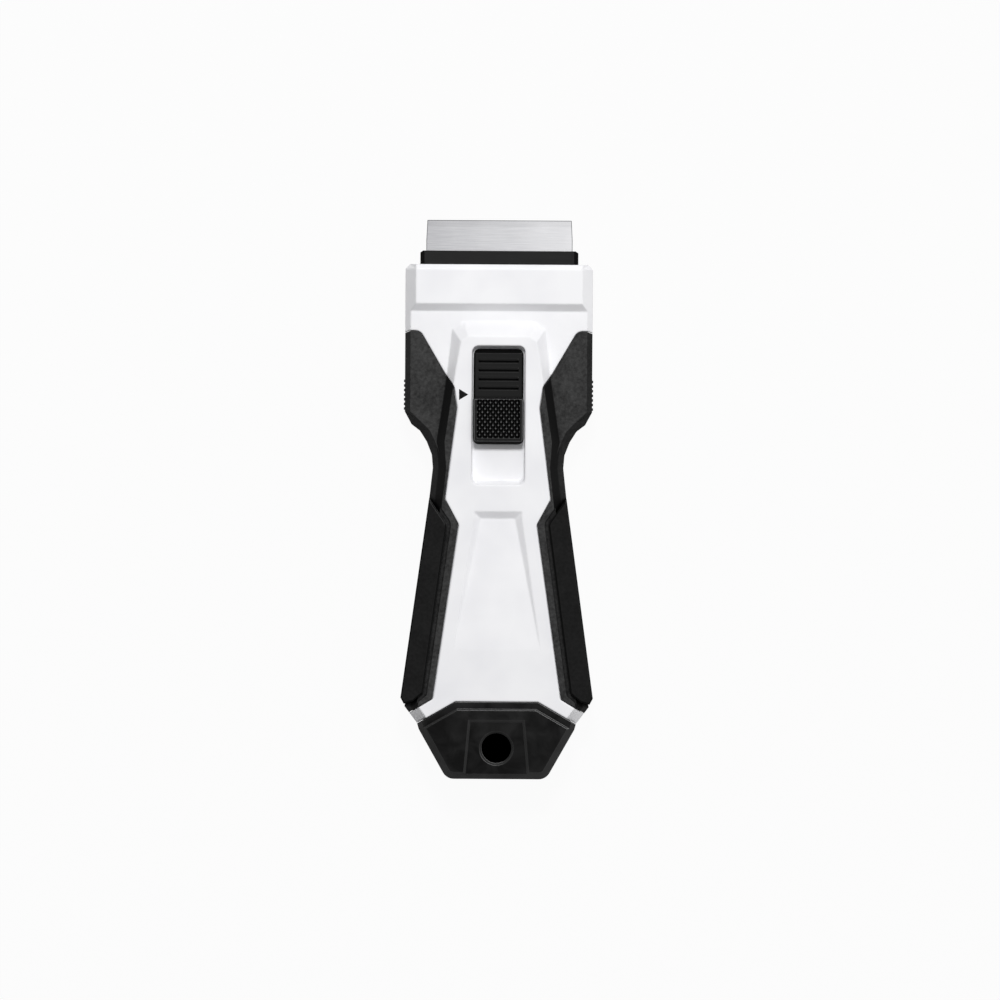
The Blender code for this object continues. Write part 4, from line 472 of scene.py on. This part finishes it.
def new_piece(name, shape):
    """Object in the scene from a bmesh, which is freed."""
    mesh = bpy.data.meshes.new(name)
    shape.to_mesh(mesh)
    shape.free()
    piece = bpy.data.objects.new(name, mesh)
    bpy.context.scene.collection.objects.link(piece)
    return piece


def leaf_height(y):
    """Height of the leaf's underside at a station: low, up a ramp, high."""
    return LEAF_LOW.z + LEAF_RISE * min(max((y - LEAF_BEND) / (LEAF_CREST - LEAF_BEND), 0.0), 1.0)


def bending_leaf():
    """The leaf in short lengths that follow its ramp, with two teeth that stand up from its end."""
    shape = bmesh.new()
    stations = [start + (end - start) * i / count for start, end, count in LEAF_RUNS
                for i in range(count)] + [LEAF_HIGH.y]
    rings = []
    for y in stations:
        low, high = leaf_height(y), leaf_height(y) + LEAF_THICKNESS
        corners = ((LEAF_LOW.x, low), (LEAF_HIGH.x, low), (LEAF_HIGH.x, high), (LEAF_LOW.x, high))
        rings.append([shape.verts.new((x, y, z)) for x, z in corners])
    for ring, after in zip(rings, rings[1:]):
        for i in range(len(ring)):
            shape.faces.new((ring[i], ring[i - 1], after[i - 1], after[i]))
    shape.faces.new(rings[0])
    shape.faces.new(rings[-1])
    foot = leaf_height(LEAF_HIGH.y) + LEAF_THICKNESS / 2
    for side in (-1, 1):
        tooth = bmesh.ops.create_cube(shape, size=1.0)["verts"]
        bmesh.ops.scale(shape, vec=(TOOTH_WIDTH, TOOTH_LENGTH, LEAF_HIGH.z - foot), verts=tooth)
        middle = (side * TOOTH_ASIDE, LEAF_HIGH.y - TOOTH_SETBACK, (foot + LEAF_HIGH.z) / 2)
        bmesh.ops.translate(shape, vec=middle, verts=tooth)
    bmesh.ops.recalc_face_normals(shape, faces=shape.faces)
    return new_piece("bending_latch_spring", shape)


ROLLED_STEEL = belt_ground_steel("cold_rolled_spring_steel", SPRING_DARK, SPRING_LIGHT,
                                 SPRING_LINE_SIZE)
coat(["blade_clamp"], ROLLED_STEEL)
leaf = bending_leaf()
leaf.data.materials.append(ROLLED_STEEL)
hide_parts("latch_spring")
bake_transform(leaf)

# Screws and rivet. Cold-headed steel wire with a bright zinc plating, which is slightly blue,
# smooth, and clouded where the bath left it uneven.

ZINC_LIGHT = "#C9CDD2"
ZINC_DARK = "#A9ADB3"
ZINC_CLOUD_SIZE = 0.9 * MM
ZINC_ROUGHNESS = (0.22, 0.4)


def bright_zinc_plating():
    """Zinc on steel: metal, fairly glossy, clouded every millimetre or so."""
    made, tree, place = new_finish("bright_zinc_plating")
    cloud = add(tree, "ShaderNodeTexNoise", {"Vector": place, "Scale": 1 / ZINC_CLOUD_SIZE,
                                             "Detail": 3.0})["Fac"]
    colour = add(tree, "ShaderNodeMix", (cloud, linear(ZINC_DARK), linear(ZINC_LIGHT)),
                 data_type="RGBA")["Result"]
    rough = add(tree, "ShaderNodeMapRange", (cloud, 0.0, 1.0, *ZINC_ROUGHNESS))["Result"]
    close_finish(tree, {"Base Color": colour, "Metallic": 1.0, "Roughness": rough})
    return made


coat(["clamp_screw_left", "clamp_screw_right", "spring_rivet", "wing_screw_left",
      "wing_screw_right", "handle_screw_front", "handle_screw_rear"], bright_zinc_plating())

# Thumb button. Moulded in black nylon with cross ribs and a knurled block, and snapped into the
# carrier. The tips of the knurl and the crests get a painted light grey highlight, and the valleys,
# grooves and sloping ends painted shade.

BUTTON_BLACK = "#0A0A0A"
BUTTON_GREY = "#111111"
BUTTON_EDGE_HIGHLIGHT = "#505050"
BUTTON_SLOPE_SHADE = "#020202"
BUTTON_GRAIN_SIZE = 0.4 * MM
BUTTON_GRAIN_DEPTH = 0.008 * MM
BUTTON_EDGE_RADIUS = 0.15 * MM
BUTTON_GLOSS = (0.03, 0.09)    # of the sloping ends, and of the faces
BUTTON_ROUGHNESS = 0.44
KNURL_TIP_HIGHLIGHT = "#646464"
KNURL_SINK = 0.04 * MM
KNURL_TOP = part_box("slider_button")[1].z - KNURL_SINK
KNURL_CEILING = KNURL_TOP + KNURL_SINK / 2
KNURL_HIGHLIGHT_DEPTH = 0.2 * MM
KNURL_GLOSS = 0.5
KNURL_ROUGHNESS = 0.32
VALLEY_REACH = 0.8 * MM


def black_nylon_painted_highlights():
    """Black nylon: satin, with a painted grey highlight and more gloss on the tips of the knurl."""
    made, tree, place = new_finish("black_nylon_painted_highlights")
    height = add(tree, "ShaderNodeSeparateXYZ", {"Vector": place})["Z"]
    # Painted highlight: the top band of the knurl is drawn light grey.
    tip = add(tree, "ShaderNodeMapRange", (height, KNURL_TOP - KNURL_HIGHLIGHT_DEPTH, KNURL_TOP))["Result"]
    below = add(tree, "ShaderNodeMath", (height, KNURL_CEILING), operation="LESS_THAN")["Value"]
    highlight_share = add(tree, "ShaderNodeMath", (tip, below), operation="MULTIPLY")["Value"]
    grain = add(tree, "ShaderNodeTexNoise", {"Vector": place, "Scale": 1 / BUTTON_GRAIN_SIZE,
                                             "Detail": 3.0})["Fac"]
    up = facing_up(tree)
    skin = add(tree, "ShaderNodeMix", (grain, linear(BUTTON_BLACK), linear(BUTTON_GREY)),
               data_type="RGBA")["Result"]
    # Painted shade: sloping ends are drawn nearly black.
    face = add(tree, "ShaderNodeMix", (up, linear(BUTTON_SLOPE_SHADE), skin), data_type="RGBA")["Result"]
    colour = add(tree, "ShaderNodeMix", (highlight_share, face, linear(KNURL_TIP_HIGHLIGHT)), data_type="RGBA")["Result"]
    plain = add(tree, "ShaderNodeMapRange", (up, 0.0, 1.0, *BUTTON_GLOSS))["Result"]
    shine = add(tree, "ShaderNodeMath", (highlight_share, KNURL_GLOSS), operation="MULTIPLY")["Value"]
    gloss = add(tree, "ShaderNodeMath", (plain, shine), operation="MAXIMUM")["Value"]
    rough = add(tree, "ShaderNodeMapRange", (highlight_share, 0.0, 1.0, BUTTON_ROUGHNESS,
                                             KNURL_ROUGHNESS))["Result"]
    # Painted shade in the valleys, kept off the knurl tips.
    gap = add(tree, "ShaderNodeMath", (openness(tree, VALLEY_REACH), highlight_share),
              operation="MAXIMUM")["Value"]
    close_black_skin(tree, NYLON_IOR, colour, gloss, rough, grain, BUTTON_GRAIN_DEPTH,
                     (*rounded_edge(tree, BUTTON_EDGE_RADIUS), BUTTON_EDGE_HIGHLIGHT), gap)
    return made


coat(["slider_button"], black_nylon_painted_highlights())

# Position mark. A small triangle pad-printed in black ink beside the button, pointing at it.
# Pad printing lays a film a few hundredths of a millimetre thick with slightly soft corners.

HALF_LENGTH = CAD_HIGH.y
MARK_BASE = -10.27 * MM
MARK_TIP = -7.87 * MM
MARK_STATION = 100.1 * MM
MARK_MIDDLE = MARK_STATION - HALF_LENGTH
MARK_HALF = 1.46 * MM
MARK_SOFTNESS = 0.12 * MM
BOSS_TOP = 17.0 * MM
INK_THICKNESS = 0.02 * MM
INK_BLACK = "#0E0E0E"
INK_DARK = "#080808"
INK_DOT_SIZE = 0.12 * MM
INK_IOR = 1.5
INK_GLOSS = 0.06
INK_ROUGHNESS = (0.4, 0.55)


def printed_mark():
    """Triangular film on the boss, with its corners slightly round."""
    shape = bmesh.new()
    corners = [(MARK_BASE, MARK_MIDDLE - MARK_HALF), (MARK_TIP, MARK_MIDDLE),
               (MARK_BASE, MARK_MIDDLE + MARK_HALF)]
    film = shape.faces.new([shape.verts.new((x, y, BOSS_TOP)) for x, y in corners])
    bmesh.ops.bevel(shape, geom=list(film.verts), affect="VERTICES", offset=MARK_SOFTNESS,
                    segments=3, profile=0.5)
    sides = bmesh.ops.extrude_face_region(shape, geom=list(shape.faces))["geom"]
    top = [item for item in sides if isinstance(item, bmesh.types.BMVert)]
    bmesh.ops.translate(shape, vec=(0.0, 0.0, INK_THICKNESS), verts=top)
    bmesh.ops.recalc_face_normals(shape, faces=shape.faces)
    return new_piece("position_mark", shape)


def pad_printed_ink():
    """Two-part printing ink: black and half glossy, with the faint dots of the pad."""
    made, tree, place = new_finish("pad_printed_ink")
    dots = add(tree, "ShaderNodeTexNoise", {"Vector": place, "Scale": 1 / INK_DOT_SIZE})["Fac"]
    colour = add(tree, "ShaderNodeMix", (dots, linear(INK_DARK), linear(INK_BLACK)),
                 data_type="RGBA")["Result"]
    rough = add(tree, "ShaderNodeMapRange", (dots, 0.0, 1.0, *INK_ROUGHNESS))["Result"]
    close_finish(tree, {"Base Color": colour, "Roughness": rough, "IOR": INK_IOR,
                        "Specular IOR Level": INK_GLOSS})
    return made


mark = printed_mark()
mark.data.materials.append(pad_printed_ink())
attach(mark, "housing")

# Studio. A paper floor that shows white, a room whose white light grows towards the right and
# overhead, and one soft lamp beyond the blade that gives the recesses their shadows.

FLOOR_SIZE = 3.0
FLOOR_PAPER = "#DEDEDE"
FLOOR_CLEAR = 0.97
SHOWN_WHITE = "#FDFDFD"
HOLE_PAINTED_SHADOW = "#020202"
HOLE_STATION = 8.05 * MM
HOLE_PLACE = (0.0, HOLE_STATION - HALF_LENGTH, 0.0)
HOLE_RANGE = (5.0 * MM, 6.0 * MM)
ROOM_LIGHT = "#FFFFFF"
ROOM_RISE = (0.44, 0.12, 0.49)
LAMP_WATTS = 9.6
LAMP_SIZE = 0.25
LAMP_DISTANCE = 1.2
LAMP_WAY = Vector((0.006, 0.444, 0.82))


def background_rays(tree):
    """1 for rays that show the background: those of the camera, of gloss and of glass."""
    path = add(tree, "ShaderNodeLightPath")
    seen = add(tree, "ShaderNodeMath", (path["Is Camera Ray"], path["Is Glossy Ray"]),
               operation="MAXIMUM")["Value"]
    return add(tree, "ShaderNodeMath", (seen, path["Is Transmission Ray"]),
               operation="MAXIMUM")["Value"]


def paper_sweep():
    """Matt paper, cleared towards plain white where the background is looked at.

    Down the deep tube of the hanging hole it is painted black, a painted shadow, as a narrow hole looks
    in hard light.
    """
    made, tree, place = new_finish("paper_sweep")
    away = add(tree, "ShaderNodeVectorMath", (place, HOLE_PLACE), operation="DISTANCE")["Value"]
    open_floor = add(tree, "ShaderNodeMapRange", (away, *HOLE_RANGE))["Result"]
    colour = add(tree, "ShaderNodeMix", (open_floor, linear(HOLE_PAINTED_SHADOW), linear(FLOOR_PAPER)),
                 data_type="RGBA")["Result"]
    paper = add(tree, "ShaderNodeBsdfDiffuse", {"Color": colour})["BSDF"]
    clear = add(tree, "ShaderNodeEmission", {"Color": linear(SHOWN_WHITE),
                                             "Strength": 1.0})["Emission"]
    shown = add(tree, "ShaderNodeMath", (open_floor, FLOOR_CLEAR), operation="MULTIPLY")["Value"]
    share = add(tree, "ShaderNodeMath", (background_rays(tree), shown), operation="MULTIPLY")["Value"]
    both = add(tree, "ShaderNodeMixShader", (share, paper, clear))["Shader"]
    add(tree, "ShaderNodeOutputMaterial", {"Surface": both})
    return made


def studio_room():
    """World whose light grows along one slanting direction and which shows plain white."""
    room = bpy.data.worlds.new("studio_room")
    room.use_nodes = True
    tree = room.node_tree
    tree.nodes.clear()
    way = add(tree, "ShaderNodeTexCoord")["Generated"]
    rise = add(tree, "ShaderNodeVectorMath", (way, ROOM_RISE), operation="DOT_PRODUCT")["Value"]
    power = add(tree, "ShaderNodeMath", (rise, 0.0), operation="MAXIMUM")["Value"]
    light = add(tree, "ShaderNodeBackground", {"Color": linear(ROOM_LIGHT),
                                               "Strength": power})["Background"]
    shown = add(tree, "ShaderNodeBackground", {"Color": linear(SHOWN_WHITE)})["Background"]
    both = add(tree, "ShaderNodeMixShader", (background_rays(tree), light, shown))["Shader"]
    add(tree, "ShaderNodeOutputWorld", {"Surface": both})
    return room


floor_shape = bmesh.new()
bmesh.ops.create_grid(floor_shape, x_segments=2, y_segments=2, size=FLOOR_SIZE / 2)
floor = new_piece("floor", floor_shape)
floor.data.materials.append(paper_sweep())

bpy.context.scene.world = studio_room()

lamp_data = bpy.data.lights.new("soft_lamp", "AREA")
lamp_data.shape = "SQUARE"
lamp_data.size = LAMP_SIZE
lamp_data.energy = LAMP_WATTS
lamp = bpy.data.objects.new("soft_lamp", lamp_data)
bpy.context.scene.collection.objects.link(lamp)
lamp.location = LAMP_WAY.normalized() * LAMP_DISTANCE
lamp.rotation_euler = LAMP_WAY.to_track_quat("Z", "Y").to_euler()

# Camera. It hangs straight over the tool, far enough away for almost no perspective, and is
# turned a third of a degree, as the tool leans in the picture.

PICTURE_WIDTH = 260.6 * MM
FOCUS_HEIGHT = 12 * MM
CAMERA_PLACE = Vector((0.56 * MM, -0.12 * MM, 5.0))
CAMERA_TURN = math.radians(0.36)
SENSOR_WIDTH = 36.0

camera_data = bpy.data.cameras.new("camera")
camera_data.sensor_width = SENSOR_WIDTH
camera_data.lens = SENSOR_WIDTH * (CAMERA_PLACE.z - FOCUS_HEIGHT) / PICTURE_WIDTH
camera = bpy.data.objects.new("camera", camera_data)
bpy.context.scene.collection.objects.link(camera)
camera.location = CAMERA_PLACE
camera.rotation_euler = (0.0, 0.0, CAMERA_TURN)
bpy.context.scene.camera = camera
bpy.context.scene.view_settings.view_transform = "Standard"
